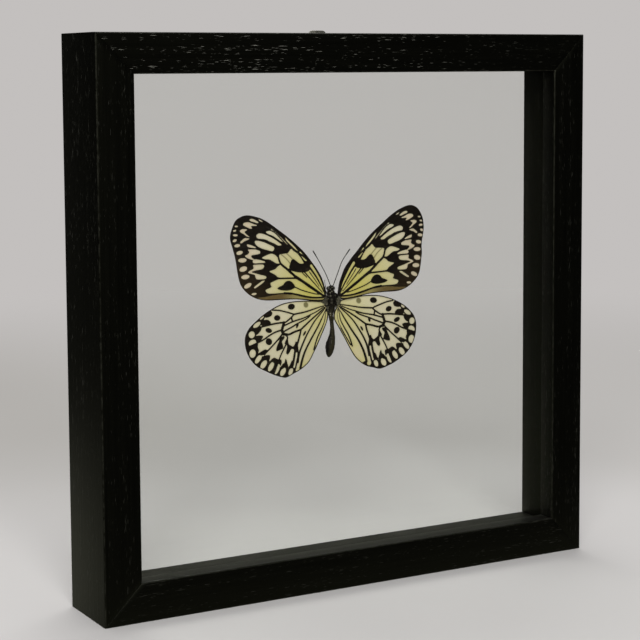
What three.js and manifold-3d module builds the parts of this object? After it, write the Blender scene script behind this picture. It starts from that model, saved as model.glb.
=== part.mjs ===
// A butterfly in a double-glazed shadow frame: four mitred wooden rails, two panes of glass held
// apart by wooden spacers, and one spread specimen glued to the inner face of the back pane.
//
// Millimetres, +Z up. The front faces -Y. The origin is the middle of the underside of the whole
// object's bounding box. Inside the model, depth is measured from the front of the rails.

import * as THREE from "three";
import { mergeVertices } from "three/addons/utils/BufferGeometryUtils.js";
import Module from "manifold-3d";

const wasm = await Module();
wasm.setup();

// ---------------------------------------------------------------- driving dimensions

const frameSize = 250; // outer width and height
const railDepth = 38; // front to back
const railFace = 17.3; // width of the front face of a rail
const lipDepth = 9; // thickness of the lip in front of the glass
const wallThickness = 6.5; // outer wall of a rail, beside the rebate
const arrisRadius = 0.8; // rounding of the front and outer edges

const gap = 0.3; // clearance between neighbouring pieces
const glassThickness = 2;
const spacerInset = 13.8; // inner face of a spacer, from the outer face of the rail
const paneSpacing = 18.9; // free depth between the two panes

const pointLength = 8.5; // glazing point, along its direction into the wood
const pointWidth = 9;
const pointThickness = 0.6;
const pointBite = 3; // how far a glazing point goes into the wall
const pointOffset = 62; // distance of each point from the middle of its rail

const plateWidth = 9; // hanging plate
const plateHeight = 17;
const plateRise = 2; // how far the plate stands above the rail
const plateThickness = 1;
const plateOffset = 0.9; // the plate sits a little off the middle
const keyholeRadius = 2.2;
const keyholeSlotWidth = 2.2;
const keyholeHeight = 4.2; // middle of the round hole, above the plate's lower end
const keyholeSlotHeight = 7.4; // top of the slot, above the plate's lower end

const screwSpacing = 4.8;
const screwDrop = 3.1; // below the top of the rail
const screwShankRadius = 0.8;
const screwHeadRadius = 1.55;
const screwHeadHeight = 0.9;
const screwLength = 5;

const specimenMiddleX = 0; // the specimen's middle line in the frame
const specimenHeight = 120.2; // height of its waist above the frame's underside
const bodyDepth = 26.3; // axis of the thorax and abdomen, behind the front of the rails
const wingPlaneLead = 0.5; // the wings' plane lies this far in front of that axis
const wingThickness = 0.3;

// Depths of the glazing, from the front of the rails.
const frontPaneDepth = lipDepth + gap;
const spacerFront = frontPaneDepth + glassThickness + gap;
const spacerBack = frontPaneDepth + glassThickness + paneSpacing - gap;
const backPaneDepth = frontPaneDepth + glassThickness + paneSpacing;
const pointDepth = backPaneDepth + glassThickness + gap;
const plateDepth = railDepth + gap;
const screwHeadDepth = plateDepth + plateThickness + gap;
const totalDepth = screwHeadDepth + screwHeadHeight;

const halfFrame = frameSize / 2;
const paneSize = frameSize - 2 * (wallThickness + gap);

// ---------------------------------------------------------------- materials

const stainedWood = { color: 0x11110e, roughness: 0.62, metalness: 0 };
const spacerWood = { color: 0x23241b, roughness: 0.75, metalness: 0 };
const clearGlass = { color: 0xdfe8df, roughness: 0.03, metalness: 0, opacity: 0.25, transparent: true };
const zincSteel = { color: 0x8f8d7b, roughness: 0.42, metalness: 0.9 };
const pointSteel = { color: 0x9a9a96, roughness: 0.38, metalness: 0.9 };
const wingMembrane = { color: 0xc9c28b, roughness: 0.7, metalness: 0 };
const bodyChitin = { color: 0x1d1b14, roughness: 0.75, metalness: 0 };
const clearGlue = { color: 0xe6e2cf, roughness: 0.25, metalness: 0, opacity: 0.6, transparent: true };

// ---------------------------------------------------------------- solids and geometries

function solidOf(geometry) {
  const bare = geometry.clone();
  bare.deleteAttribute("normal");
  bare.deleteAttribute("uv");
  const merged = mergeVertices(bare, 1e-4);
  return new wasm.Manifold(
    new wasm.Mesh({
      numProp: 3,
      vertProperties: new Float32Array(merged.attributes.position.array),
      triVerts: new Uint32Array(merged.index.array),
    }),
  );
}

function geometryOf(solid) {
  const mesh = solid.getMesh();
  const geometry = new THREE.BufferGeometry();
  geometry.setAttribute("position", new THREE.BufferAttribute(new Float32Array(mesh.vertProperties), 3));
  geometry.setIndex(new THREE.BufferAttribute(new Uint32Array(mesh.triVerts), 1));
  geometry.computeVertexNormals();
  return geometry;
}

// Moves every vertex of a geometry by a function of its place.
function remap(geometry, place) {
  const positions = geometry.attributes.position;
  const point = new THREE.Vector3();
  for (let i = 0; i < positions.count; i += 1) {
    place(point.fromBufferAttribute(positions, i));
    positions.setXYZ(i, point.x, point.y, point.z);
  }
  geometry.computeVertexNormals();
  return geometry;
}

function piece(name, geometry, material) {
  const mesh = new THREE.Mesh(geometry, new THREE.MeshStandardMaterial(material));
  mesh.name = name;
  return mesh;
}

// ---------------------------------------------------------------- frame rails and spacers

// Section of a rail: x is the distance in from the outer face, y the depth from the front.
function railSection() {
  const r = arrisRadius;
  const shape = new THREE.Shape();
  shape.moveTo(r, 0);
  shape.lineTo(railFace - r, 0);
  shape.absarc(railFace - r, r, r, -Math.PI / 2, 0, false);
  shape.lineTo(railFace, lipDepth);
  shape.lineTo(wallThickness, lipDepth);
  shape.lineTo(wallThickness, railDepth);
  shape.lineTo(r, railDepth);
  shape.absarc(r, railDepth - r, r, Math.PI / 2, Math.PI, false);
  shape.lineTo(0, r);
  shape.absarc(r, r, r, Math.PI, 1.5 * Math.PI, false);
  return shape;
}

function spacerSection() {
  const shape = new THREE.Shape();
  shape.moveTo(wallThickness + gap, spacerFront);
  shape.lineTo(spacerInset, spacerFront);
  shape.lineTo(spacerInset, spacerBack);
  shape.lineTo(wallThickness + gap, spacerBack);
  return shape;
}

// A strip of a section with 45 degree mitres, along the bottom of a frame centred on the origin.
function mitredStrip(section) {
  const mitreClearance = gap / Math.SQRT2;
  const strip = new THREE.ExtrudeGeometry(section, { depth: 1, bevelEnabled: false, curveSegments: 3 });
  return remap(strip, (point) => {
    const inset = point.x;
    const depth = point.y;
    const along = 1 - 2 * point.z;
    point.set(along * (halfFrame - inset - mitreClearance), depth, inset - halfFrame);
  });
}

// A glazing point seen flat: its blunt end at 0 and its sharp end at the far end of its length.
function glazingPointShape(clearance) {
  const half = pointWidth / 2 + clearance;
  const shoulder = pointLength - 0.55 * pointBite;
  const shape = new THREE.Shape();
  shape.moveTo(-half, 0);
  shape.lineTo(-half, shoulder);
  shape.lineTo(-0.35 * half, pointLength + clearance);
  shape.lineTo(0.35 * half, pointLength + clearance);
  shape.lineTo(half, shoulder);
  shape.lineTo(half, 0);
  return shape;
}

// A glazing point in the bottom rail: flat behind the back pane, with its sharp end in the wall.
// With a clearance it is the slot that the point sits in.
function glazingPoint(offset, clearance) {
  const point = new THREE.ExtrudeGeometry(glazingPointShape(clearance), {
    depth: pointThickness + 2 * clearance,
    bevelEnabled: false,
  });
  const sharpEnd = wallThickness - pointBite - halfFrame;
  return remap(point, (p) => {
    p.set(offset + p.x, pointDepth - clearance + p.z, sharpEnd + pointLength - p.y);
  });
}

function railSolid(isTop) {
  let rail = solidOf(mitredStrip(railSection()));
  for (const side of [-1, 1]) {
    rail = rail.subtract(solidOf(glazingPoint(side * pointOffset, gap)));
  }
  if (isTop) {
    // The top rail is the bottom one turned over, so its left is the frame's right.
    for (const side of [-1, 1]) {
      const radius = screwShankRadius + gap;
      const depth = screwLength + gap;
      const hole = new THREE.CylinderGeometry(radius, radius, depth, 12);
      const x = -plateOffset + (side * screwSpacing) / 2;
      hole.translate(x, railDepth - depth / 2 + 0.01, -halfFrame + screwDrop);
      rail = rail.subtract(solidOf(hole));
    }
  }
  return rail;
}

// Quarter turns about the viewing direction take the bottom strip to each side of the frame.
const sides = [
  { name: "bottom", turn: 0 },
  { name: "left", turn: Math.PI / 2 },
  { name: "top", turn: Math.PI },
  { name: "right", turn: -Math.PI / 2 },
];

function frameSides() {
  const all = new THREE.Group();
  for (const { name, turn } of sides) {
    const side = new THREE.Group();
    side.rotation.y = turn;
    side.add(piece(`rail_${name}`, geometryOf(railSolid(name === "top")), stainedWood));
    side.add(piece(`spacer_${name}`, mitredStrip(spacerSection()), spacerWood));
    [-1, 1].forEach((end, i) => {
      const point = glazingPoint(end * pointOffset, 0);
      side.add(piece(`glazing_point_${name}_${i + 1}`, point, pointSteel));
    });
    all.add(side);
  }
  all.position.z = halfFrame;
  return all;
}

// ---------------------------------------------------------------- panes

function pane(name, depth) {
  const glass = piece(name, new THREE.BoxGeometry(paneSize, glassThickness, paneSize), clearGlass);
  glass.position.set(0, depth + glassThickness / 2, halfFrame);
  return glass;
}

// ---------------------------------------------------------------- hanging plate and screws

function plateShape() {
  const half = plateWidth / 2;
  const corner = 2;
  const shape = new THREE.Shape();
  shape.moveTo(-half + corner, 0);
  shape.lineTo(half - corner, 0);
  shape.absarc(half - corner, corner, corner, -Math.PI / 2, 0, false);
  shape.lineTo(half, plateHeight - corner);
  shape.absarc(half - corner, plateHeight - corner, corner, 0, Math.PI / 2, false);
  shape.lineTo(-half + corner, plateHeight);
  shape.absarc(-half + corner, plateHeight - corner, corner, Math.PI / 2, Math.PI, false);
  shape.lineTo(-half, corner);
  shape.absarc(-half + corner, corner, corner, Math.PI, 1.5 * Math.PI, false);

  // Keyhole: the slot's sides meet the round hole where the circle is as wide as the slot.
  const slotHalf = keyholeSlotWidth / 2;
  const meet = Math.asin(slotHalf / keyholeRadius);
  const keyhole = new THREE.Path();
  keyhole.absarc(0, keyholeHeight, keyholeRadius, Math.PI / 2 + meet, 2.5 * Math.PI - meet, false);
  keyhole.absarc(0, keyholeSlotHeight - slotHalf, slotHalf, 0, Math.PI, false);
  shape.holes.push(keyhole);

  for (const side of [-1, 1]) {
    const hole = new THREE.Path();
    const z = plateHeight - plateRise - screwDrop;
    hole.absarc((side * screwSpacing) / 2, z, screwShankRadius + gap, 0, 2 * Math.PI, false);
    shape.holes.push(hole);
  }
  return shape;
}

function hangingPlate() {
  const plate = new THREE.ExtrudeGeometry(plateShape(), {
    depth: plateThickness,
    bevelEnabled: false,
    curveSegments: 6,
  });
  plate.rotateX(Math.PI / 2);
  const mesh = piece("hanger_plate", plate, zincSteel);
  mesh.position.set(
    plateOffset,
    plateDepth + plateThickness,
    frameSize + plateRise - plateHeight,
  );
  return mesh;
}

// A pan-head screw as a turned section: radius against height, with the head at the top.
function screw(side) {
  const section = [
    new THREE.Vector2(0, -screwLength),
    new THREE.Vector2(screwShankRadius * 0.35, -screwLength + 0.5),
    new THREE.Vector2(screwShankRadius, -screwLength + 1.8),
    new THREE.Vector2(screwShankRadius, 0),
    new THREE.Vector2(screwHeadRadius, 0),
    new THREE.Vector2(screwHeadRadius, screwHeadHeight * 0.4),
    new THREE.Vector2(screwHeadRadius * 0.75, screwHeadHeight * 0.85),
    new THREE.Vector2(0, screwHeadHeight),
  ];
  const turned = new THREE.LatheGeometry(section, 14);
  const name = side < 0 ? "hanger_screw_left" : "hanger_screw_right";
  const mesh = piece(name, geometryOf(solidOf(turned)), zincSteel);
  mesh.position.set(
    plateOffset + (side * screwSpacing) / 2,
    screwHeadDepth,
    frameSize - screwDrop,
  );
  return mesh;
}

// ---------------------------------------------------------------- wings

// Wing outlines, each given as for a right-hand side: x from the specimen's middle line, z above
// its waist. As in any real specimen the two sides differ a little: the left forewing is narrower
// towards its apex, and the right hindwing has the fuller inner flap.
const forewingOutlines = {
  left: [
    [3.0, 9.6], [3.2, 12.2], [3.9, 14.6], [5.3, 18.4], [8.0, 23.0], [11.1, 27.0], [15.2, 32.0],
    [21.9, 38.0], [27.2, 42.0], [32.9, 46.0], [37.2, 48.0], [42.6, 49.15], [46.7, 48.0],
    [48.8, 46.0], [50.6, 42.2], [51.25, 39.0], [50.3, 35.0], [49.3, 30.5], [48.8, 26.0],
    [48.1, 21.5], [46.8, 17.6], [43.7, 14.0], [39.8, 11.7], [34.8, 10.45], [27.0, 10.2],
    [19.0, 9.9], [11.0, 8.65], [5.4, 8.25],
  ],
  right: [
    [3.0, 9.6], [3.1, 12.4], [4.1, 17.0], [6.3, 22.2], [9.2, 26.0], [13.2, 30.0], [17.2, 34.0],
    [21.8, 38.0], [27.2, 42.0], [33.0, 46.0], [38.0, 48.65], [43.6, 50.1], [47.6, 49.0],
    [50.1, 45.9], [51.2, 42.0], [51.1, 38.2], [50.1, 34.2], [49.45, 30.6], [49.3, 27.0],
    [48.3, 21.4], [47.0, 17.0], [43.9, 13.8], [39.9, 11.5], [35.0, 10.2], [27.0, 10.2],
    [19.0, 9.9], [11.0, 8.65], [5.4, 8.25],
  ],
};

const hindwingOutlines = {
  left: [
    [2.8, 6.6], [5.8, 8.0], [12.0, 8.7], [19.0, 9.0], [24.0, 8.65], [28.0, 7.8], [32.0, 6.35],
    [36.0, 4.3], [40.0, 1.5], [43.4, -1.5], [45.3, -5.2], [45.45, -9.0], [44.5, -12.9],
    [42.4, -16.4], [39.6, -19.3], [35.2, -21.8], [31.0, -23.8], [27.0, -25.2], [24.6, -25.5],
    [20.8, -24.0], [16.2, -21.95], [12.5, -19.2], [10.0, -15.3], [7.2, -10.3], [4.0, -4.2],
    [2.4, -0.6], [2.1, 2.0], [2.5, 4.4],
  ],
  right: [
    [2.8, 6.6], [5.8, 8.0], [12.0, 8.9], [19.0, 9.3], [25.0, 8.75], [30.0, 7.5], [34.0, 5.9],
    [38.0, 3.7], [41.5, 1.0], [44.2, -2.2], [45.45, -5.8], [45.3, -9.2], [44.4, -13.0],
    [42.6, -16.6], [39.4, -19.7], [35.0, -22.4], [31.0, -24.2], [27.0, -25.5], [24.4, -25.75],
    [20.6, -24.7], [17.6, -23.8], [14.0, -21.4], [11.2, -18.4], [8.4, -13.8], [5.6, -8.7],
    [3.1, -4.3], [1.5, -1.4], [1.1, 1.0], [1.6, 3.2], [2.5, 4.8],
  ],
};

// A ramp that is zero below zero and rises at 45 degrees above it, with a soft bend between.
function softRamp(t, softness) {
  return (t + Math.hypot(t, softness)) / 2;
}

// Height of each wing in front of the wing plane. The wings rise from the thorax, the forewing's
// apex leans back towards the rear pane, and the hindwing's front edge passes under the forewing.
function forewingRise(x, z) {
  const root = 1 - Math.exp(-Math.max(0, x - 2) / 3);
  return root * 1.4 - 0.1 * softRamp(z - 22, 4) - 0.08 * softRamp(x - 40, 4);
}

function hindwingRise(x, z) {
  const tuck = THREE.MathUtils.smoothstep(z, 3, 9);
  return 1.9 * (1 - Math.exp(-x / 12)) - 0.07 * softRamp(x - 36, 4) - 0.9 * tuck;
}

// A smooth closed shape through the points of an outline.
function smoothShape(outline) {
  const points = [...outline, outline[0]].map(([x, z]) => new THREE.Vector2(x, z));
  const curve = new THREE.SplineCurve(points);
  return new THREE.Shape(curve.getPoints(3 * outline.length).slice(0, -1));
}

// A wing is a thin curved sheet cut to its outline. It is made lying down, with the outline's
// height along Y and the rise along Z, and then stood up.
function wing(outline, rise, side) {
  const shape = smoothShape(outline);
  const margin = 3;
  const box = new THREE.Box2().setFromPoints(shape.getPoints()).expandByScalar(margin);
  const size = box.getSize(new THREE.Vector2());
  const middle = box.getCenter(new THREE.Vector2());
  const facet = 4;
  const [across, along] = [Math.round(size.x / facet), Math.round(size.y / facet)];

  const sheet = new THREE.BoxGeometry(size.x, size.y, wingThickness, across, along, 1);
  sheet.translate(middle.x, middle.y, 0);
  remap(sheet, (point) => {
    point.z += rise(point.x, point.y);
  });

  const reach = 12;
  const cutter = new THREE.ExtrudeGeometry(shape, { depth: 2 * reach, bevelEnabled: false });
  cutter.translate(0, 0, -reach);

  const standing = solidOf(sheet).intersect(solidOf(cutter)).rotate([90, 0, 0]);
  const sided = side < 0 ? standing.mirror([1, 0, 0]) : standing;
  return geometryOf(sided.translate([0, -wingPlaneLead, 0]));
}

// ---------------------------------------------------------------- body

function ellipsoid(radii, centre, segments) {
  const ball = new THREE.SphereGeometry(1, segments, Math.round(segments * 0.7));
  ball.scale(...radii);
  ball.translate(...centre);
  return ball;
}

// Places on the body are x from its middle line, depth behind its axis and z above its waist.

// A closed round skin through stations of {x, z, radius}, listed along the body.
function loftedBody(stations, around) {
  const rings = stations.map(({ x, z, radius }) => {
    const ring = [];
    for (let i = 0; i < around; i += 1) {
      const angle = (2 * Math.PI * i) / around;
      ring.push(new THREE.Vector3(x + radius * Math.cos(angle), radius * Math.sin(angle), z));
    }
    return ring;
  });
  const vertices = rings.flat();
  const index = [];
  for (let r = 0; r + 1 < rings.length; r += 1) {
    for (let i = 0; i < around; i += 1) {
      const a = r * around + i;
      const b = r * around + ((i + 1) % around);
      const c = a + around;
      const d = b + around;
      index.push(a, c, b, b, c, d);
    }
  }
  const last = (rings.length - 1) * around;
  for (let i = 1; i + 1 < around; i += 1) {
    index.push(0, i, i + 1);
    index.push(last, last + i + 1, last + i);
  }
  const geometry = new THREE.BufferGeometry().setFromPoints(vertices);
  geometry.setIndex(index);
  return geometry;
}

// A thin limb or feeler: a round section swept along a smooth curve through its points.
function limb(points, radius) {
  const path = new THREE.CatmullRomCurve3(points.map((p) => new THREE.Vector3(...p)));
  const section = new THREE.Shape();
  section.absarc(0, 0, radius, 0, 2 * Math.PI, false);
  const steps = 4 * (points.length - 1);
  return new THREE.ExtrudeGeometry(section, { steps, extrudePath: path, curveSegments: 3 });
}

const abdomenStations = [
  { z: 6.0, x: 0.0, radius: 1.5 },
  { z: 3.0, x: -0.25, radius: 1.35 },
  { z: 1.0, x: -0.25, radius: 1.15 },
  { z: -2.0, x: 0.2, radius: 0.92 },
  { z: -5.0, x: 0.5, radius: 1.0 },
  { z: -8.0, x: 0.4, radius: 1.38 },
  { z: -10.5, x: 0.0, radius: 1.87 },
  { z: -13.0, x: -0.65, radius: 2.2 },
  { z: -15.0, x: -0.9, radius: 1.95 },
  { z: -17.0, x: -1.25, radius: 1.4 },
  { z: -18.0, x: -1.3, radius: 0.85 },
  { z: -18.4, x: -1.35, radius: 0.3 },
];

const antennae = [
  [[-0.6, -0.7, 14.4], [-3.0, -0.8, 20.0], [-6.0, -0.8, 25.4], [-9.8, -0.6, 31.6]],
  [[0.6, -0.7, 14.4], [3.2, -0.8, 20.8], [5.6, -0.8, 26.0], [9.8, -0.6, 31.3]],
];

// Walking legs, folded against the rear pane. The left foreleg reaches up past the head.
const legs = [
  [[-0.9, 1.4, 10.4], [-1.8, 2.1, 12.6], [-1.7, 2.2, 14.6], [-2.1, 2.2, 17.2]],
  [[0.9, 1.4, 10.4], [1.9, 2.1, 12.4], [1.4, 2.2, 14.6]],
  [[-1.3, 1.3, 8.8], [-3.6, 2.2, 8.4], [-4.3, 2.3, 4.2], [-3.9, 2.3, 0.4]],
  [[1.3, 1.3, 8.8], [3.6, 2.2, 8.2], [4.1, 2.3, 4.0], [4.0, 2.3, 0.8]],
  [[-1.2, 1.2, 7.0], [-3.0, 2.2, 4.2], [-2.6, 2.3, -1.6], [-2.9, 2.3, -6.0]],
  [[1.2, 1.2, 7.0], [3.0, 2.2, 4.4], [2.4, 2.3, -2.2], [2.6, 2.3, -5.6]],
];

const thoraxHalfDepth = 2.2;
const headCentre = [-0.4, -0.3, 13.5];
const eyeRadii = [0.92, 0.95, 1.0];
const eyeOffset = 1.28; // middle of an eye, to either side of the head's middle
const eyeRise = 0.1;

function body() {
  const [headX, headDepth, headZ] = headCentre;
  const lumps = [
    ellipsoid([2.3, thoraxHalfDepth, 4.7], [0, 0, 7.9], 20), // thorax
    ellipsoid([1.7, 1.6, 1.5], [-0.15, -0.1, 11.9], 14), // collar
    ellipsoid([1.45, 1.4, 1.5], headCentre, 16), // head
    ellipsoid(eyeRadii, [headX - eyeOffset, headDepth, headZ + eyeRise], 12),
    ellipsoid(eyeRadii, [headX + eyeOffset, headDepth, headZ + eyeRise], 12),
    loftedBody(abdomenStations, 16),
  ];
  const feelerRadius = 0.2;
  const legRadius = 0.24;
  const limbs = [
    ...antennae.map((points) => limb(points, feelerRadius)),
    ...legs.map((points) => limb(points, legRadius)),
    limb([[-0.9, -0.8, 14.2], [-1.0, -1.2, 15.3]], 0.3), // palps
    limb([[0.3, -0.8, 14.2], [0.4, -1.2, 15.3]], 0.3),
  ];
  const joined = [...lumps, ...limbs].map(solidOf).reduce((whole, part) => whole.add(part));
  return geometryOf(joined);
}

function glueDot() {
  const radius = 1.3;
  const back = backPaneDepth - gap - bodyDepth;
  const front = thoraxHalfDepth + gap;
  const height = 5.4;
  const dot = new THREE.CylinderGeometry(radius * 0.8, radius, back - front, 16);
  dot.rotateX(Math.PI);
  const mesh = piece("glue_dot", geometryOf(solidOf(dot)), clearGlue);
  mesh.position.set(0, (front + back) / 2, height);
  return mesh;
}

function specimen() {
  const butterfly = new THREE.Group();
  for (const [name, side] of [["left", -1], ["right", 1]]) {
    const forewing = wing(forewingOutlines[name], forewingRise, side);
    const hindwing = wing(hindwingOutlines[name], hindwingRise, side);
    butterfly.add(piece(`forewing_${name}`, forewing, wingMembrane));
    butterfly.add(piece(`hindwing_${name}`, hindwing, wingMembrane));
  }
  butterfly.add(piece("butterfly_body", body(), bodyChitin));
  butterfly.add(glueDot());
  butterfly.position.set(specimenMiddleX, bodyDepth, specimenHeight);
  return butterfly;
}

// ---------------------------------------------------------------- the whole object

const framedButterfly = new THREE.Group();
framedButterfly.add(frameSides());
framedButterfly.add(pane("glass_front", frontPaneDepth));
framedButterfly.add(pane("glass_back", backPaneDepth));
framedButterfly.add(hangingPlate());
framedButterfly.add(screw(-1));
framedButterfly.add(screw(1));
framedButterfly.add(specimen());
framedButterfly.position.y = -totalDepth / 2;

export default framedButterfly;
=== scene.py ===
# %% [markdown]
# # A butterfly between two panes of glass
# This lesson dresses a measured CAD model. The model gives every piece its place and its size; here
# each piece gets the fine shape and the finish that a cabinet maker or an insect setter would see.
# We load the model first and note its box, so that nothing we add can outgrow it.

import math

import bmesh
import bpy
import numpy as np
from mathutils import Matrix, Vector
from mathutils.geometry import delaunay_2d_cdt


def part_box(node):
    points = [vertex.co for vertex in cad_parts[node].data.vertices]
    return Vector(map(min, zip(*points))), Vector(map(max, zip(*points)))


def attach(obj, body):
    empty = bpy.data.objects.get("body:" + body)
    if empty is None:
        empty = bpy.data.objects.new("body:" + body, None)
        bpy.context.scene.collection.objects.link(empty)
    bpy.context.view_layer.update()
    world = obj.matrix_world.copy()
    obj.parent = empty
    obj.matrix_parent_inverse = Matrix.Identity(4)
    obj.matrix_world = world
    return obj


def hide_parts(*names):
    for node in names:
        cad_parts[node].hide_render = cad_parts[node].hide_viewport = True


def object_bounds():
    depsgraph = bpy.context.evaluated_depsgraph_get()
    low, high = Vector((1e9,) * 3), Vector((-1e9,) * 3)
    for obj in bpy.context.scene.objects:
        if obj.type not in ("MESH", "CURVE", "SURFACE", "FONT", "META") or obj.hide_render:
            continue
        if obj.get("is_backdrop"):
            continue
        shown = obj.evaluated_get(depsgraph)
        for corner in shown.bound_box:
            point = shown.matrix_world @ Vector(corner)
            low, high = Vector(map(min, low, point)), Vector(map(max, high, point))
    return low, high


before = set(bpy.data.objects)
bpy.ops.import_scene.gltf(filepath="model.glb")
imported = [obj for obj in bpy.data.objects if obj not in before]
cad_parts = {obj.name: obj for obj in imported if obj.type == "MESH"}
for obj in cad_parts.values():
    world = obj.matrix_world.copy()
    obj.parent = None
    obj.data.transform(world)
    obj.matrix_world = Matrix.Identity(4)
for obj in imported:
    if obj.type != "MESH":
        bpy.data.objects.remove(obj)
cad_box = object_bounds()
scene = bpy.context.scene
print("CAD nodes:", len(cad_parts))

# %% [markdown]
# ## Working in millimetres
# A picture framer thinks in millimetres, Blender in metres. Points are written as (x, depth, height):
# x from the middle of the frame, depth back from the front of the rails, height above the table.

# %% Units and the frame's own measures
MM = 0.001
RAILS_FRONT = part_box("rail_bottom")[0].y / MM
OUTSIDE = 250.0
HALF = OUTSIDE / 2
RAIL_DEPTH = 38.0
RAIL_FACE = 17.3
LIP = 9.0
WALL = 6.5
PANE_THICKNESS = 2.0


def depth_of(y_metres):
    return y_metres / MM - RAILS_FRONT


def placed(points):
    """Row-frame metres for points given as x, depth and height in millimetres."""
    points = np.asarray(points, float).reshape(-1, 3)
    return (points + (0.0, RAILS_FRONT, 0.0)) * MM


FRONT_PANE = depth_of(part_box("glass_front")[0].y)
BACK_PANE = depth_of(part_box("glass_back")[0].y)
print(f"front pane at {FRONT_PANE:.2f} mm, back pane at {BACK_PANE:.2f} mm from the front")

# %% [markdown]
# ## The camera
# The object is seen from the left, a little above its middle, with a long lens. The picture plane is
# kept nearly upright, as with a view camera, and its film is shifted down a little instead.

# %% Camera
EYE = Vector((-405.5, -702.0, 234.0)) * MM
TURN = -0.51446
NOD = -0.09521
ROLL = 0.00587
FOCAL_LENGTH = 100.28
FILM_WIDTH = 36.0
FILM_DROP = -0.125


def put(name, data):
    """A new object in the scene."""
    made = bpy.data.objects.new(name, data)
    scene.collection.objects.link(made)
    return made


camera_data = bpy.data.cameras.new("camera")
camera_data.lens = FOCAL_LENGTH
camera_data.sensor_width = FILM_WIDTH
camera_data.shift_y = FILM_DROP
camera_data.clip_start = 0.05
camera = put("camera", camera_data)
camera.matrix_world = (
    Matrix.Translation(EYE)
    @ Matrix.Rotation(TURN, 4, "Z")
    @ Matrix.Rotation(NOD, 4, "X")
    @ Matrix.Rotation(ROLL, 4, "Y")
    @ Matrix.Rotation(math.pi / 2, 4, "X")
)
scene.camera = camera
print(f"camera {EYE.length:.2f} m from the object")

# %% [markdown]
# ## Small helpers for materials
# A material is a tree of nodes. These helpers add a node, feed its sockets and hand back its output,
# so that each finish below reads as a short recipe.


# %% Node helpers
def feed(tree, socket, value):
    if isinstance(value, bpy.types.NodeSocket):
        tree.links.new(value, socket)
    else:
        socket.default_value = value


def node(tree, kind, sockets=None, **settings):
    made = tree.nodes.new("ShaderNode" + kind)
    for setting, value in settings.items():
        setattr(made, setting, value)
    for socket, value in (sockets or {}).items():
        feed(tree, made.inputs[socket], value)
    return made


def calc(tree, operation, *values):
    return node(tree, "Math", dict(enumerate(values)), operation=operation).outputs[0]


def product(tree, first, *others):
    for other in others:
        first = calc(tree, "MULTIPLY", first, other)
    return first


def axes_of(tree, vector):
    return node(tree, "SeparateXYZ", {"Vector": vector}).outputs


def from_axes(tree, x, y, z):
    return node(tree, "CombineXYZ", {"X": x, "Y": y, "Z": z}).outputs[0]


def place_on_piece(tree):
    return node(tree, "TexCoord").outputs["Object"]


def place_in_mm(tree):
    """The place in millimetres, for effects that are described at that scale."""
    return node(tree, "VectorMath", {0: place_on_piece(tree), 3: 1 / MM}, operation="SCALE").outputs[0]


def noise(tree, vector, scale, detail=2.0, roughness=0.5):
    sockets = {"Vector": vector, "Scale": scale, "Detail": detail, "Roughness": roughness}
    return node(tree, "TexNoise", sockets).outputs["Fac"]


def step(tree, value, low, high):
    """0 below low, 1 above high and a smooth rise between; low may be above high."""
    sockets = {"Value": value, "From Min": low, "From Max": high}
    return node(tree, "MapRange", sockets, interpolation_type="SMOOTHSTEP").outputs[0]


def blend(tree, factor, first, second):
    sockets = {"Factor": factor, 6: first, 7: second}
    return node(tree, "Mix", sockets, data_type="RGBA").outputs[2]


def colour(red, green, blue):
    return (red, green, blue, 1.0)


def attribute(tree, name, output="Fac"):
    return node(tree, "Attribute", attribute_name=name).outputs[output]


def effect(name, inputs, outputs):
    """A shader node group with named sockets; returns the group, its inputs and its outputs."""
    group = bpy.data.node_groups.new(name, "ShaderNodeTree")
    for label, kind, value in inputs:
        socket = group.interface.new_socket(label, in_out="INPUT", socket_type="NodeSocket" + kind)
        if value is not None:
            socket.default_value = value
    for label, kind in outputs:
        group.interface.new_socket(label, in_out="OUTPUT", socket_type="NodeSocket" + kind)
    here, out = group.nodes.new("NodeGroupInput"), group.nodes.new("NodeGroupOutput")
    return group, here.outputs, out.inputs


def use(tree, group, **sockets):
    made = node(tree, "Group", node_tree=group)
    for label, value in sockets.items():
        feed(tree, made.inputs[label.replace("_", " ")], value)
    return made.outputs


def new_finish(name, **constants):
    """A material with a Principled shader; constants are set on the shader's own sockets."""
    material = bpy.data.materials.new(name)
    material.use_nodes = True
    tree = material.node_tree
    shader = tree.nodes["Principled BSDF"]
    for label, value in constants.items():
        shader.inputs[label.replace("_", " ")].default_value = value
    return material, tree, shader


def relief(tree, shader, height, distance, strength=1.0):
    sockets = {"Height": height, "Distance": distance * MM, "Strength": strength}
    tree.links.new(node(tree, "Bump", sockets).outputs["Normal"], shader.inputs["Normal"])


# %% [markdown]
# ## Small helpers for shapes
# Every piece is a mesh with its points worked out in code. The helper gives it a name, a finish and
# a place on the CAD body, and hides the CAD node that it stands for.


# %% Mesh helpers
def adopt(name, mesh, material, replaces=None):
    """The mesh as a piece that rides on the CAD body and may stand for one of its nodes."""
    mesh.materials.append(material)
    piece = put(name, mesh)
    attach(piece, "root")
    if replaces:
        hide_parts(replaces)
    return piece


def mesh_piece(name, points, faces, material, slot, replaces=None, sharp_degrees=None):
    mesh = bpy.data.meshes.new(name)
    mesh.from_pydata(placed(points).tolist(), [], [tuple(map(int, face)) for face in faces])
    mesh.shade_smooth()
    if sharp_degrees is not None:
        mesh.set_sharp_from_angle(angle=math.radians(sharp_degrees))
    return adopt(name, mesh, material, replaces)


def store(piece, name, values):
    """Keeps one number, or one vector, per point of a mesh for its material to read."""
    values = np.asarray(values, np.float32)
    kind, label = ("FLOAT_VECTOR", "vector") if values.ndim == 2 else ("FLOAT", "value")
    piece.data.attributes.new(name, kind, "POINT").data.foreach_set(label, values.ravel())


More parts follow.
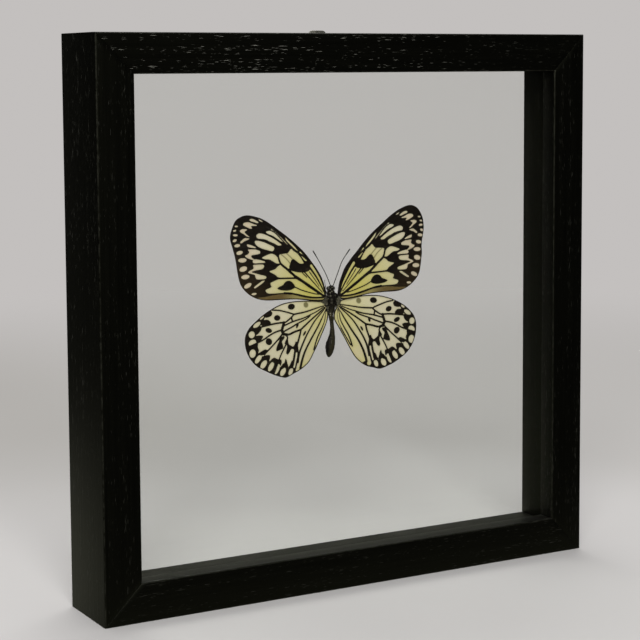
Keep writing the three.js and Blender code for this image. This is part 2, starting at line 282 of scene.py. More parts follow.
def rounded(corners, segments=5):
    """A closed outline with each corner (x, y, radius) turned into an arc."""
    outline = []
    count = len(corners)
    for i, (x, y, radius) in enumerate(corners):
        corner = np.array((x, y))
        before = np.array(corners[i - 1][:2]) - corner
        after = np.array(corners[(i + 1) % count][:2]) - corner
        before, after = before / np.hypot(*before), after / np.hypot(*after)
        half_angle = math.acos(float(np.clip(before @ after, -1, 1))) / 2
        reach = radius / math.tan(half_angle)
        bisector = (before + after) / np.hypot(*(before + after))
        middle = corner + bisector * radius / math.sin(half_angle)
        start, end = corner + before * reach - middle, corner + after * reach - middle
        first, last = math.atan2(start[1], start[0]), math.atan2(end[1], end[0])
        sweep = (last - first + math.pi) % (2 * math.pi) - math.pi
        for k in range(segments + 1):
            angle = first + sweep * k / segments
            outline.append(middle + radius * np.array((math.cos(angle), math.sin(angle))))
    return np.array(outline)


def inward(outline, amount):
    """The closed outline moved inwards by amount; it runs anticlockwise."""
    ahead = np.roll(outline, -1, 0) - np.roll(outline, 1, 0)
    ahead /= np.hypot(ahead[:, 0], ahead[:, 1])[:, None]
    return outline + amount * np.stack([-ahead[:, 1], ahead[:, 0]], 1)


def ring_faces(rings, around):
    """Quads between rings of points that follow each other, with the two ends closed."""
    faces = []
    for r in range(rings - 1):
        for i in range(around):
            j = (i + 1) % around
            faces.append((r * around + i, r * around + j, (r + 1) * around + j, (r + 1) * around + i))
    faces.append(tuple(range(around - 1, -1, -1)))
    faces.append(tuple(range((rings - 1) * around, rings * around)))
    return faces


# %% [markdown]
# ## Dust and worn edges
# Two effects are shared by several finishes. Dust settles on whatever faces up, in soft patches.
# Edges lose a little of their stain, most where the distance to the arris is nothing. Each is a node
# group, built once, with its own sockets.

# %% Shared effects
dust, here, out = effect(
    "settled dust",
    [("Amount", "Float", 0.3), ("Patch", "Float", 60.0)],
    [("Mask", "Float")],
)
facing = axes_of(dust, node(dust, "NewGeometry").outputs["Normal"])["Z"]
patches = step(dust, noise(dust, place_on_piece(dust), here["Patch"], 4.0), 0.35, 0.75)
upward = step(dust, facing, 0.25, 1.0)
feed(dust, out["Mask"], product(dust, upward, patches, here["Amount"]))

wear, here, out = effect(
    "worn edge",
    [("Distance", "Float", 9.0), ("Reach", "Float", 0.5), ("Amount", "Float", 0.5)],
    [("Mask", "Float")],
)
nearness = step(wear, here["Distance"], here["Reach"], 0.0)
broken = step(wear, noise(wear, place_on_piece(wear), 350.0, 3.0), 0.3, 0.7)
feed(wear, out["Mask"], product(wear, nearness, broken, here["Amount"]))
print("shared effects:", dust.name, "and", wear.name)

# %% [markdown]
# ## Stained open-pored wood
# The rails are a ring-porous wood, stained black and rubbed with wax. Its pores are short scratches
# along the grain, crowded into bands where a year's growth began. A solid texture gives this on
# every face at once, if it is fed with (along, across, through) the rail in millimetres. Noise
# stretched along the grain makes the pores, and slower noise makes the bands. The pores are painted
# pale, most on the left of the top rail: partly wax left in them, partly a painted glint of light on
# their edges. The coat of wax tints what the wood reflects.

# %% Grain
grain, here, out = effect(
    "open pored grain",
    [
        ("Grain", "Vector", None), ("Pore length", "Float", 4.4), ("Pore width", "Float", 0.29),
        ("Coverage", "Float", 0.5),
    ],
    [("Pores", "Float"), ("Tone", "Float"), ("Height", "Float")],
)
along_across = axes_of(grain, here["Grain"])


def stretched(length, width, seed):
    x = calc(grain, "DIVIDE", along_across["X"], length)
    y = calc(grain, "DIVIDE", along_across["Y"], width)
    z = calc(grain, "ADD", calc(grain, "DIVIDE", along_across["Z"], width), seed)
    return from_axes(grain, x, y, z)


scratches = noise(grain, stretched(here["Pore length"], here["Pore width"], 0.0), 1.0, 1.0)
year_bands = noise(grain, stretched(90.0, 2.6, 40.0), 1.0, 2.0)
streaks = noise(grain, stretched(38.0, 0.8, 80.0), 1.0, 3.0)
PORE_SOFTNESS = 0.07
between_bands = calc(grain, "SUBTRACT", 0.98, product(grain, here["Coverage"], 0.36))
threshold = calc(grain, "MULTIPLY_ADD", year_bands, -0.32, between_bands)
pores = step(grain, scratches, threshold, calc(grain, "ADD", threshold, PORE_SOFTNESS))
feed(grain, out["Pores"], pores)
feed(grain, out["Tone"], calc(grain, "MULTIPLY_ADD", streaks, 0.6, product(grain, year_bands, 0.4)))
feed(grain, out["Height"], calc(grain, "SUBTRACT", product(grain, streaks, 0.35), pores))

WAX_TINT = colour(0.96, 1.0, 0.68)
DUST_COLOUR = colour(0.32, 0.30, 0.27)
WORN_REACH = 0.5


def wood_finish(name, dark, light, pore_wax_and_glint, worn, roughness, dust_amount, coverage):
    material, tree, shader = new_finish(name, Specular_IOR_Level=0.12, Specular_Tint=WAX_TINT)
    fibres = use(tree, grain, Grain=attribute(tree, "grain", "Vector"), Coverage=coverage)
    rubbed = use(tree, wear, Distance=attribute(tree, "arris"), Reach=WORN_REACH, Amount=0.55)["Mask"]
    dusty = use(tree, dust, Amount=dust_amount)["Mask"]
    body = blend(tree, step(tree, fibres["Tone"], 0.3, 0.7), dark, light)
    # Pale pores: partly wax, partly a painted glint of light on the pore edges.
    wax_and_glint = product(tree, fibres["Pores"], attribute(tree, "wax_and_glint"))
    flecked = blend(tree, wax_and_glint, body, pore_wax_and_glint)
    edged = blend(tree, rubbed, flecked, worn)
    feed(tree, shader.inputs["Base Color"], blend(tree, dusty, edged, DUST_COLOUR))
    matt = calc(tree, "MULTIPLY_ADD", fibres["Pores"], 0.2, roughness)
    feed(tree, shader.inputs["Roughness"], calc(tree, "MULTIPLY_ADD", dusty, 0.3, matt))
    relief(tree, shader, fibres["Height"], 0.16, 0.8)
    return material


stained_wood = wood_finish(
    "black stained wood", dark=colour(0.0004, 0.0004, 0.0003), light=colour(0.0014, 0.0014, 0.0010),
    pore_wax_and_glint=colour(0.17, 0.17, 0.145), worn=colour(0.034, 0.034, 0.026),
    roughness=0.40, dust_amount=0.02, coverage=0.36,
)
spacer_wood = wood_finish(
    "stained fillet wood", dark=colour(0.0005, 0.0005, 0.0002), light=colour(0.0018, 0.0019, 0.0009),
    pore_wax_and_glint=colour(0.0004, 0.0004, 0.0003), worn=colour(0.012, 0.012, 0.008),
    roughness=0.44, dust_amount=0.035, coverage=0.3,
)

# %% [markdown]
# ## The rails
# Each rail is one length of moulding with its ends cut at 45 degrees. Sweeping the section is the
# natural way: every point of it runs along the rail and stops on the mitre plane. The last tenth of
# a millimetre is pulled in, so the closed joint shows as the fine line that a real mitre has.

# %% Rails and fillets
ARRIS = 0.8
rail_section = rounded([
    (0.0, 0.0, ARRIS), (RAIL_FACE, 0.0, ARRIS), (RAIL_FACE, LIP, 0.35),
    (WALL, LIP, 0.2), (WALL, RAIL_DEPTH, 0.5), (0.0, RAIL_DEPTH, ARRIS),
])
FILLET_FACE = 13.8
FIT = 0.04
fillet_front, fillet_back = FRONT_PANE + PANE_THICKNESS + FIT, BACK_PANE - FIT
fillet_section = rounded([
    (WALL + FIT, fillet_front, 0.3), (FILLET_FACE, fillet_front, 0.45),
    (FILLET_FACE, fillet_back, 0.45), (WALL + FIT, fillet_back, 0.3),
])
SIDES = ("bottom", "left", "top", "right")


def turned(points, quarter_turns):
    """Turns points of the bottom side about the middle of the frame, clockwise seen from the front."""
    x, depth, height = points[:, 0], points[:, 1], points[:, 2] - HALF
    for _ in range(quarter_turns):
        x, height = height, -x
    return np.stack([x, depth, height + HALF], 1)


def mitred_length(section, corner_count, steps=64, groove=0.07):
    """Points of a mitred length along the bottom, with grain coordinates and arris distances."""
    pulled = inward(section, groove)
    runs = [(pulled, -1.0, 0.0), (section, -1.0, groove * 2)]
    runs += [(section, t, groove * 2) for t in np.linspace(-1, 1, steps)[1:-1]]
    runs += [(section, 1.0, groove * 2), (pulled, 1.0, 0.0)]
    points, grain_at = [], []
    for ring, t, short in runs:
        reach = HALF - ring[:, 0] - short
        points.append(np.stack([t * reach, ring[:, 1], ring[:, 0]], 1))
        grain_at.append(np.stack([t * reach, ring[:, 0], ring[:, 1]], 1))
    arc = len(section) // corner_count
    middles = section.reshape(corner_count, arc, 2).mean(1)
    arris = np.min(np.hypot(*(section[:, None] - middles[None]).transpose(2, 0, 1)), 1)
    return np.concatenate(points), np.concatenate(grain_at), np.tile(arris, len(runs)), len(runs)


WAX_AND_GLINT_BESIDE, WAX_AND_GLINT_IN_FRONT = 0.45, 0.15
NEXT_BOARD = np.array((310.0, 23.0, 0.0))

for side, name in enumerate(SIDES):
    for kind, section, corners, material, slot in (
        ("rail", rail_section, 6, stained_wood, "stained_wood"),
        ("spacer", fillet_section, 4, spacer_wood, "spacer_wood"),
    ):
        points, grain_at, arris, rings = mitred_length(section, corners)
        points = turned(points, side)
        # Share of pale pores, wax and painted glint: more on the sides than on the front, most on the left
        # of the top rail.
        wax_and_glint = np.where(points[:, 1] > 1.0, WAX_AND_GLINT_BESIDE, WAX_AND_GLINT_IN_FRONT)
        if name == "top":
            wax_and_glint = np.interp(points[:, 0], (20.0, 90.0), (1.0, WAX_AND_GLINT_IN_FRONT))
        piece = mesh_piece(
            f"{name}_{kind}_wood", points, ring_faces(rings, len(section)), material, slot,
            replaces=f"{kind}_{name}", sharp_degrees=40,
        )
        store(piece, "grain", grain_at + NEXT_BOARD * side)
        store(piece, "arris", arris)
        store(piece, "wax_and_glint", wax_and_glint)
print("rails and fillets:", len(rail_section), "points round a rail")

# %% [markdown]
# ## The panes
# Picture glass is cut from a sheet, and its edges are seamed with a stone so that they don't cut.
# A box with a small bevel is that shape. Glass is a plain Principled shader with full transmission.
# Lamp light and soft light have to reach the butterfly through it, so a Transparent shader takes the
# place of the glass for shadow rays and for diffuse rays.

# %% Panes
clear_glass, tree, shader = new_finish(
    "clear float glass", Base_Color=colour(0.988, 0.995, 0.984), Roughness=0.0,
    Transmission_Weight=1.0, IOR=1.42, Metallic=0.0,
)
path = node(tree, "LightPath").outputs
clear_way = node(tree, "BsdfTransparent", {"Color": colour(0.968, 0.974, 0.964)}).outputs[0]
for_shadows = node(tree, "MixShader", {0: path["Is Shadow Ray"], 1: shader.outputs[0], 2: clear_way})
for_daylight = node(tree, "MixShader", {0: path["Is Diffuse Ray"], 1: for_shadows.outputs[0], 2: clear_way})
tree.links.new(for_daylight.outputs[0], tree.nodes["Material Output"].inputs["Surface"])

SEAMED_EDGE = 0.35

for name, node_name in (("front_glass", "glass_front"), ("rear_glass", "glass_back")):
    low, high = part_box(node_name)
    mesh = bmesh.new()
    bmesh.ops.create_cube(mesh, size=1.0)
    for vertex in mesh.verts:
        vertex.co = Vector((low[i] + (vertex.co[i] + 0.5) * (high[i] - low[i]) for i in range(3)))
    bmesh.ops.bevel(mesh, geom=mesh.edges[:], offset=SEAMED_EDGE * MM, segments=1, affect="EDGES")
    data = bpy.data.meshes.new(name)
    mesh.to_mesh(data)
    mesh.free()
    adopt(name, data, clear_glass, node_name)
    print(name, "is", [round(value / MM, 1) for value in high - low], "mm")

# %% [markdown]
# ## Drawing on the wings
# A wing's pattern is crisp at the scale of its own scales, so it is drawn as shapes, not painted.
# Each pale cell is a smooth closed loop and each vein a tapering line, in millimetres on the wing.
# For every point of a fine wing mesh we store how far it lies inside or outside them. The material
# then only has to ask on which side of zero that distance is, and the edge stays sharp when near.


# %% Distances to drawn shapes
def fade(value, low, high):
    """0 below low, 1 above high and a smooth rise between."""
    t = np.clip((value - low) / (high - low), 0, 1)
    return t * t * (3 - 2 * t)


def smooth_loop(points, parts=4, closed=True):
    """A Catmull-Rom curve through the points."""
    points = np.asarray(points, float)
    if closed:
        before, start, end, after = (np.roll(points, shift, 0) for shift in (1, 0, -1, -2))
    else:
        padded = np.vstack([2 * points[0] - points[1], points, 2 * points[-1] - points[-2]])
        before, start, end, after = padded[:-3], padded[1:-2], padded[2:-1], padded[3:]
    t = (np.arange(parts) / parts)[None, :, None]
    before, start, end, after = (p[:, None] for p in (before, start, end, after))
    curve = 0.5 * (
        2 * start + (end - before) * t
        + (2 * before - 5 * start + 4 * end - after) * t**2
        + (3 * start - before - 3 * end + after) * t**3
    )
    curve = curve.reshape(-1, points.shape[1])
    return curve if closed else np.vstack([curve, points[-1]])


def smooth_line(points, parts=4):
    return smooth_loop(points, parts, closed=False)


def spaced(path, spacing, closed=False):
    """The path again, with points at equal steps of about the spacing."""
    line = np.vstack([path, path[:1]]) if closed else np.asarray(path, float)
    reach = np.concatenate([[0.0], np.cumsum(np.linalg.norm(np.diff(line, axis=0), axis=1))])
    count = max(2, int(round(reach[-1] / spacing)) + 1)
    at = np.linspace(0, reach[-1], count)
    made = np.stack([np.interp(at, reach, line[:, k]) for k in range(line.shape[1])], 1)
    return made[:-1] if closed else made


def near_segments(points, start, end):
    """Distance from every point to every segment, and the share along it."""
    run = end - start
    length = np.maximum((run**2).sum(1), 1e-12)
    offset = points[:, None] - start[None]
    share = np.clip((offset * run[None]).sum(2) / length[None], 0, 1)
    return np.linalg.norm(offset - share[..., None] * run[None], axis=2), share


def off_path(points, path):
    return near_segments(points, path[:-1], path[1:])[0].min(1)


FAR = 9.0
WHOLE_WING = 60.0


def inside_loop(points, loop, margin=1.6):
    """Signed distance to a closed loop in mm, positive inside; far away it is just -FAR."""
    result = np.full(len(points), -FAR)
    low, high = loop.min(0) - margin, loop.max(0) + margin
    close = np.flatnonzero(((points > low) & (points < high)).all(1))
    start, end = loop, np.roll(loop, -1, 0)
    p = points[close]
    distance = near_segments(p, start, end)[0].min(1)
    above = (start[None, :, 1] > p[:, None, 1]) != (end[None, :, 1] > p[:, None, 1])
    rise = np.where(np.abs(end - start)[:, 1] < 1e-9, 1e-9, (end - start)[:, 1])
    cross = start[None, :, 0] + (p[:, None, 1] - start[None, :, 1]) * ((end - start)[:, 0] / rise)[None]
    odd = (above & (p[:, None, 0] < cross)).sum(1) % 2 == 1
    result[close] = np.where(odd, distance, -distance)
    return result


def off_line(points, line, first_width, last_width):
    """Distance past the edge of a tapering line in mm, negative on the line itself."""
    distance, share = near_segments(points, line[:-1], line[1:])
    count = len(line) - 1
    along = (np.arange(count)[None] + share) / count
    half_width = (first_width + (last_width - first_width) * along) / 2
    return (distance - half_width).min(1)


def nearest_inside(points, loops):
    """How far each point lies inside whichever of the loops it is deepest in."""
    return np.max([inside_loop(points, loop) for loop in loops], 0)


def oval(x, z, half_length, half_width, tilt, parts=20):
    angle = np.linspace(0, 2 * np.pi, parts, endpoint=False)
    turn = math.radians(tilt)
    across, up = half_length * np.cos(angle), half_width * np.sin(angle)
    return np.stack([
        x + across * math.cos(turn) - up * math.sin(turn),
        z + across * math.sin(turn) + up * math.cos(turn),
    ], 1)


# %% [markdown]
# ## The forewing's pattern
# The forewing is dark with pale cells between its veins: long ones towards the base, then a zigzag
# row, and a row of small ovals along the outer edge. Black blotches cross the cells, and a hem of
# beige and brown runs along the rear edge. Points are (x, height) on a right-hand wing: x from the
# butterfly's middle, height above the drawing datum, which lies half a millimetre below the waist.

# %% Forewing drawing
DATUM_DROP = 0.5
FOREWING_CELLS = [
    # front edge, base of the wing
    [(4.2, 12.4), (5.2, 15.8), (6.5, 18.8), (8.2, 21.8), (9.8, 24.2), (11.1, 25.9), (11.9, 25.2),
     (10.6, 23.3), (9.2, 21.4), (7.7, 19.0), (6.3, 16.4), (5.0, 13.6)],
    # base of the discal cell
    [(4.3, 11.5), (5.6, 14.2), (7.6, 17.5), (9.4, 20.2), (11.0, 22.3), (12.2, 23.5), (13.8, 22.7),
     (16.9, 22.7), (19.7, 23.3), (22.0, 24.3), (21.4, 22.9), (20.3, 21.9), (16.4, 19.5), (12.8, 17.1),
     (9.6, 14.9), (6.8, 13.0), (5.2, 11.9)],
    # the large yellow cell behind the thick vein
    [(5.2, 10.6), (7.4, 12.0), (9.8, 13.5), (12.8, 15.4), (16.2, 17.8), (18.3, 19.0), (19.7, 19.7),
     (23.1, 19.9), (26.6, 20.1), (29.0, 20.1), (30.9, 19.4), (32.6, 18.7), (32.4, 17.5), (32.3, 16.8),
     (35.0, 15.8), (34.9, 14.8), (33.8, 14.1), (31.4, 13.9), (27.6, 13.9), (23.1, 13.7), (19.7, 13.2),
     (16.2, 12.3), (12.8, 11.5), (9.3, 10.8), (6.9, 10.4)],
    # triangle and leaf behind the discal cell
    [(20.0, 20.6), (22.4, 22.3), (24.5, 24.4), (26.2, 26.3), (27.3, 26.6), (28.7, 26.0), (30.0, 24.9),
     (31.8, 24.4), (33.0, 24.0), (31.8, 23.2), (30.0, 22.2), (28.7, 21.1), (25.9, 20.8), (23.1, 20.7)],
    [(27.3, 27.3), (28.1, 29.2), (29.3, 30.8), (31.1, 31.8), (32.8, 31.7), (34.9, 31.0), (36.4, 30.3),
     (34.9, 29.6), (32.8, 29.4), (30.7, 28.2), (29.3, 27.4), (28.0, 27.1)],
    # outer half of the discal cell
    [(15.0, 26.3), (16.9, 29.6), (19.0, 31.7), (21.1, 33.4), (21.9, 33.0), (23.1, 31.7), (25.2, 31.5),
     (27.3, 31.3), (27.8, 30.4), (27.3, 28.6), (26.2, 26.8), (24.5, 25.4), (23.1, 24.6), (22.1, 25.8),
     (21.6, 27.5), (20.4, 28.7), (19.3, 28.2), (17.6, 26.8), (16.2, 26.3)],
    # slivers along the front edge
    [(13.4, 28.1), (15.0, 30.1), (16.9, 32.2), (16.8, 30.7), (15.5, 28.9), (14.2, 27.6)],
    [(17.3, 31.5), (19.2, 34.0), (21.1, 35.9), (22.7, 37.4), (24.2, 38.9), (23.2, 36.9), (21.7, 34.7),
     (19.8, 32.7), (18.0, 31.1)],
    [(23.0, 35.7), (24.6, 37.8), (26.5, 39.9), (28.2, 41.8), (30.2, 43.2), (29.4, 41.8), (27.4, 39.6),
     (25.4, 37.3), (23.8, 35.8)],
    [(25.6, 37.1), (27.2, 39.0), (28.8, 40.4), (30.5, 41.7), (32.0, 42.2), (33.8, 41.8), (32.9, 40.9),
     (30.7, 40.0), (28.0, 38.3), (26.1, 37.0)],
    [(29.6, 41.5), (30.4, 42.5), (31.4, 43.1), (30.6, 42.0)],
    # the two long ovals beyond the discal cell
    [(26.2, 35.6), (27.6, 36.8), (30.0, 38.4), (32.8, 39.9), (35.6, 41.0), (37.6, 41.2), (38.7, 40.4),
     (38.5, 39.4), (37.3, 38.7), (33.5, 37.9), (30.0, 36.5), (28.0, 35.4)],
    [(30.2, 34.8), (32.1, 35.8), (35.2, 37.2), (38.0, 38.0), (39.5, 38.0), (39.7, 37.2), (38.7, 35.8),
     (36.6, 34.6), (33.5, 33.6), (31.1, 33.0), (30.2, 33.7)],
    # the zigzag row
    [(34.9, 46.3), (36.0, 47.0), (37.2, 47.6), (36.4, 46.7)],
    [(37.3, 46.1), (38.7, 47.2), (40.4, 47.9), (41.8, 47.7), (41.1, 46.8), (39.0, 46.0)],
    [(38.1, 44.8), (40.0, 45.6), (42.4, 46.5), (44.5, 46.3), (45.0, 45.4), (43.8, 44.6), (41.8, 43.7),
     (40.6, 43.7), (41.2, 44.7)],
    [(43.0, 43.4), (45.2, 43.6), (46.8, 42.9), (46.2, 42.0), (44.9, 41.3), (43.8, 40.4), (42.1, 39.8),
     (43.8, 41.3), (44.5, 42.3)],
    [(42.3, 39.1), (44.2, 39.6), (45.6, 38.9), (46.9, 37.7), (46.2, 37.3), (44.9, 38.1)],
    [(39.2, 34.9), (41.1, 36.0), (43.5, 36.7), (43.3, 35.6), (41.4, 35.1)],
    [(37.4, 33.2), (38.7, 34.1), (41.1, 34.3), (43.3, 34.3), (42.8, 33.2), (43.6, 32.2), (44.9, 31.7),
     (44.2, 30.8), (42.1, 29.9), (40.4, 29.6), (41.8, 30.8), (41.6, 31.7), (39.0, 32.0), (37.6, 32.3)],
    [(34.9, 28.2), (36.6, 29.1), (40.0, 29.8), (41.2, 29.2), (40.9, 28.2), (38.0, 27.9)],
    [(35.6, 26.5), (36.2, 27.2), (39.0, 27.4), (41.2, 27.3), (41.0, 25.8), (42.8, 24.9), (43.8, 24.1),
     (42.4, 23.5), (40.6, 22.9), (40.2, 21.7), (39.3, 20.8), (35.6, 20.8), (34.7, 21.5), (35.6, 22.2),
     (37.6, 22.7), (40.4, 23.6), (42.1, 24.2), (40.4, 24.8), (36.6, 25.3)],
    [(35.6, 19.9), (36.4, 20.2), (38.6, 19.0), (41.0, 17.3), (40.4, 16.9), (38.0, 18.2)],
]
# The outer row, each as (x, height, half length, half width, tilt in degrees).
FOREWING_OVALS = [
    (48.4, 44.9, 0.8, 0.35, 0), (49.3, 43.0, 0.8, 0.4, -15), (49.1, 41.0, 1.15, 0.5, 4),
    (49.5, 38.6, 1.0, 0.6, -20), (48.4, 36.3, 1.4, 0.7, -6), (47.4, 33.1, 1.55, 0.85, -12),
    (46.3, 29.7, 2.0, 0.95, -2), (46.1, 25.8, 1.9, 1.15, -14), (45.2, 22.2, 2.0, 1.0, -4),
    (44.1, 18.2, 1.95, 0.95, -25), (41.1, 14.3, 1.3, 0.5, -4),
]
# The hem along the rear edge: beige near the root, brown further out.
FOREWING_HEM = [
    (4.4, 9.9), (9.0, 10.1), (13.4, 10.7), (17.6, 11.7), (22.0, 12.9), (26.0, 13.3), (31.0, 13.1),
    (35.0, 12.6), (39.5, 12.3), (36.0, 11.5), (31.0, 11.3), (26.0, 11.2), (20.0, 10.9), (15.0, 10.3),
    (11.0, 9.7), (6.0, 9.3),
]
# Black blotches that cover parts of the cells.
FOREWING_BLOTS = [
    [(12.0, 27.5), (13.4, 27.8), (15.0, 26.7), (17.2, 26.7), (18.7, 27.8), (20.2, 28.8), (21.4, 28.4),
     (22.3, 26.6), (22.8, 25.2), (21.9, 23.8), (20.0, 23.1), (17.6, 22.6), (15.0, 22.6), (12.9, 22.9),
     (12.0, 24.0), (12.0, 25.6)],
    [(20.0, 16.0), (20.6, 17.5), (22.1, 18.9), (23.7, 19.2), (25.2, 18.6), (26.2, 17.5), (28.0, 16.8),
     (29.2, 16.1), (28.0, 15.3), (25.2, 14.8), (22.8, 14.8), (21.1, 15.3)],
]
# Dark lines, as (width at the start, width at the end, points).
FOREWING_LINES = [
    (0.9, 1.2, [(4.5, 10.9), (6.9, 12.3), (9.8, 14.2), (13.0, 16.4), (16.5, 18.8), (19.8, 20.9)]),
    (1.1, 0.7, [(19.8, 20.9), (23.3, 24.0), (26.9, 26.9), (27.9, 29.0), (28.3, 31.2)]),
    (0.35, 0.6, [(4.0, 11.7), (5.0, 13.9), (6.6, 16.7), (8.6, 20.0), (10.5, 22.6), (12.0, 24.6)]),
    (0.15, 0.35, [(7.3, 15.6), (9.0, 18.1), (10.9, 20.6), (12.3, 22.5)]),
    (0.25, 0.45, [(5.4, 12.7), (7.6, 14.8), (9.6, 16.9), (11.6, 19.0), (13.4, 21.0), (15.0, 22.6)]),
    (0.4, 0.45, [(11.6, 19.0), (13.0, 20.5), (14.6, 22.3)]),
    (0.3, 0.35, [(13.8, 20.2), (15.3, 21.6), (16.4, 22.7)]),
    (0.3, 0.4, [(7.6, 11.9), (10.6, 12.6), (14.6, 13.8), (17.6, 14.9), (20.6, 16.4)]),
    (0.5, 0.5, [(4.6, 10.4), (9.1, 10.6), (13.5, 11.2), (17.6, 12.2), (22.0, 13.4), (25.8, 13.9)]),
    (0.5, 0.5, [(19.8, 20.3), (24.0, 20.4), (29.5, 20.5), (35.0, 20.4), (41.0, 20.2), (47.6, 20.1)]),
    (0.45, 0.4, [(26.9, 26.9), (31.0, 27.2), (36.0, 27.7), (42.0, 27.7), (48.8, 27.6)]),
    (0.5, 0.4, [(27.8, 31.9), (32.0, 32.4), (36.5, 33.4), (40.0, 34.6), (45.0, 35.0), (50.0, 35.2)]),
    (0.5, 0.4, [(25.5, 34.6), (29.5, 35.2), (34.0, 38.0), (39.5, 38.9), (44.0, 39.8), (50.8, 39.8)]),
    (0.5, 0.4, [(24.5, 35.9), (27.4, 37.4), (33.0, 40.4), (38.0, 42.2), (43.0, 43.6), (49.5, 44.2)]),
    (0.4, 0.4, [(23.6, 35.5), (26.0, 37.9), (29.2, 41.1), (32.5, 42.9), (37.0, 45.2), (42.0, 46.9),
                (47.0, 48.2)]),
    (0.35, 0.3, [(16.6, 30.9), (19.8, 32.5), (22.0, 34.8), (24.4, 37.6), (27.0, 40.6), (30.0, 43.0)]),
    (0.7, 0.5, [(11.6, 26.9), (13.4, 28.2), (16.0, 30.4), (20.0, 33.4), (25.2, 38.4), (30.5, 43.4),
                (35.0, 46.6)]),
    (0.4, 0.6, [(22.0, 13.0), (27.0, 13.6), (34.0, 13.4), (41.0, 13.1)]),
]
# Faint olive lines inside the discal cell.
FOREWING_FAINT = [
    [(20.6, 28.6), (22.2, 30.2), (23.6, 31.4)],
    [(22.0, 26.8), (24.3, 29.4), (26.6, 31.2)],
]

# %% [markdown]
# ## The hindwing's pattern
# The hindwing is the other way round: pale, with dark veins, round spots, and a dark border that
# holds a row of pale ovals. The border's inner edge is ragged, which the patches along it give.

# %% Hindwing drawing
HINDWING_BORDER = [
    (33.4, 6.6), (35.2, 4.2), (36.9, 1.6), (38.6, -0.8), (40.2, -3.6), (40.4, -7.4), (40.3, -11.0),
    (38.3, -13.4), (35.6, -15.2), (33.4, -17.0), (30.8, -18.4), (28.0, -20.0), (25.0, -21.0),
    (22.0, -20.4), (19.8, -21.4), (16.5, -21.0), (14.0, -24.0), (24.0, -31.0), (38.0, -28.0),
    (48.0, -20.0), (52.0, -8.0), (49.0, 3.0), (42.0, 9.0), (35.0, 10.0),
]
HINDWING_PATCHES = [
    [(32.1, 5.5), (34.0, 6.2), (36.5, 4.5), (36.0, 3.4), (34.5, 3.2), (32.6, 3.9)],
    [(33.0, 1.0), (34.5, 2.2), (37.5, 2.0), (38.2, 1.2), (37.5, -0.3), (35.0, -0.6), (33.2, 0.0)],
    [(38.0, -1.0), (41.0, -1.0), (41.8, -2.0), (41.0, -3.8), (40.0, -4.2), (38.5, -3.0), (37.8, -1.9)],
    [(37.0, -5.0), (39.5, -4.6), (41.0, -5.2), (40.5, -7.2), (39.5, -7.7), (37.8, -6.6)],
    [(39.5, -8.0), (41.0, -8.6), (42.0, -9.8), (40.8, -11.5), (39.8, -12.6), (39.0, -11.5),
     (39.6, -9.8)],
    [(34.6, -11.8), (36.0, -11.2), (38.5, -12.3), (39.5, -13.0), (38.0, -13.8), (36.2, -13.4),
     (35.2, -12.9)],
    [(33.5, -14.2), (35.2, -13.8), (37.3, -14.4), (37.0, -15.8), (35.2, -15.6), (34.4, -17.0),
     (33.8, -16.3)],
    [(27.6, -16.6), (29.5, -16.2), (31.5, -15.3), (33.4, -16.5), (34.2, -17.8), (32.5, -17.2),
     (31.4, -18.0), (30.8, -19.2), (29.0, -18.4), (28.0, -19.4), (27.5, -18.2)],
    [(24.4, -18.7), (25.8, -18.3), (28.0, -19.8), (27.5, -21.0), (25.8, -20.4), (25.0, -21.3),
     (24.0, -20.4)],
    [(21.2, -17.5), (22.3, -17.6), (23.2, -19.4), (24.0, -20.5), (23.0, -21.0), (21.8, -20.5),
     (21.0, -19.4)],
    # wedges that hang from the fork of the veins
    [(25.9, -6.0), (26.2, -7.2), (27.2, -8.2), (26.9, -9.6), (26.6, -11.2), (28.0, -12.0), (30.1, -12.4),
     (30.1, -10.8), (29.0, -8.4), (27.8, -6.2)],
    [(24.3, -6.6), (23.9, -8.4), (23.5, -9.8), (21.4, -11.4), (22.5, -12.5), (23.4, -13.9), (24.4, -14.5),
     (25.0, -13.6), (24.6, -11.4), (24.8, -9.9), (25.9, -9.4), (25.4, -8.2)],
    [(22.6, -10.8), (21.8, -11.2), (20.7, -10.4), (19.8, -8.8), (19.0, -10.6), (19.1, -13.4), (20.2, -14.0),
     (21.2, -12.3), (22.3, -12.0)],
    # pointed tips where the border's ovals meet the cells
    [(24.6, -17.6), (25.4, -16.4), (26.0, -18.0), (27.2, -18.8), (26.0, -19.6), (24.6, -19.0)],
    [(29.0, -17.4), (29.8, -15.9), (30.8, -17.0), (30.4, -18.2), (29.2, -18.4)],
]
# Ovals and spots, as (x, height, half length, half width, tilt in degrees).
HINDWING_OVALS = [
    (37.2, 3.6, 1.5, 0.6, -42), (40.0, 0.3, 2.1, 0.95, -30), (42.6, -4.0, 1.5, 1.55, 0),
    (42.3, -7.7, 1.9, 1.35, -25), (42.2, -12.6, 1.6, 1.9, 0), (39.3, -15.3, 2.4, 1.1, -50),
    (36.7, -18.0, 2.2, 1.25, -52), (33.0, -19.3, 2.3, 1.15, -57), (29.9, -20.9, 2.2, 1.05, -62),
    (26.8, -22.3, 2.0, 1.25, -55), (22.7, -22.5, 1.8, 1.05, -65), (19.0, -22.0, 1.1, 1.2, 0),
]
HINDWING_SPOTS = [
    (21.8, 7.2, 1.85, 1.35, -6), (29.6, 2.7, 1.65, 1.3, 10), (34.0, -2.7, 1.75, 1.1, 22),
    (34.0, -7.8, 1.75, 1.5, 40), (19.1, -1.6, 0.6, 1.25, 20), (15.2, -5.5, 0.5, 1.3, 32),
]
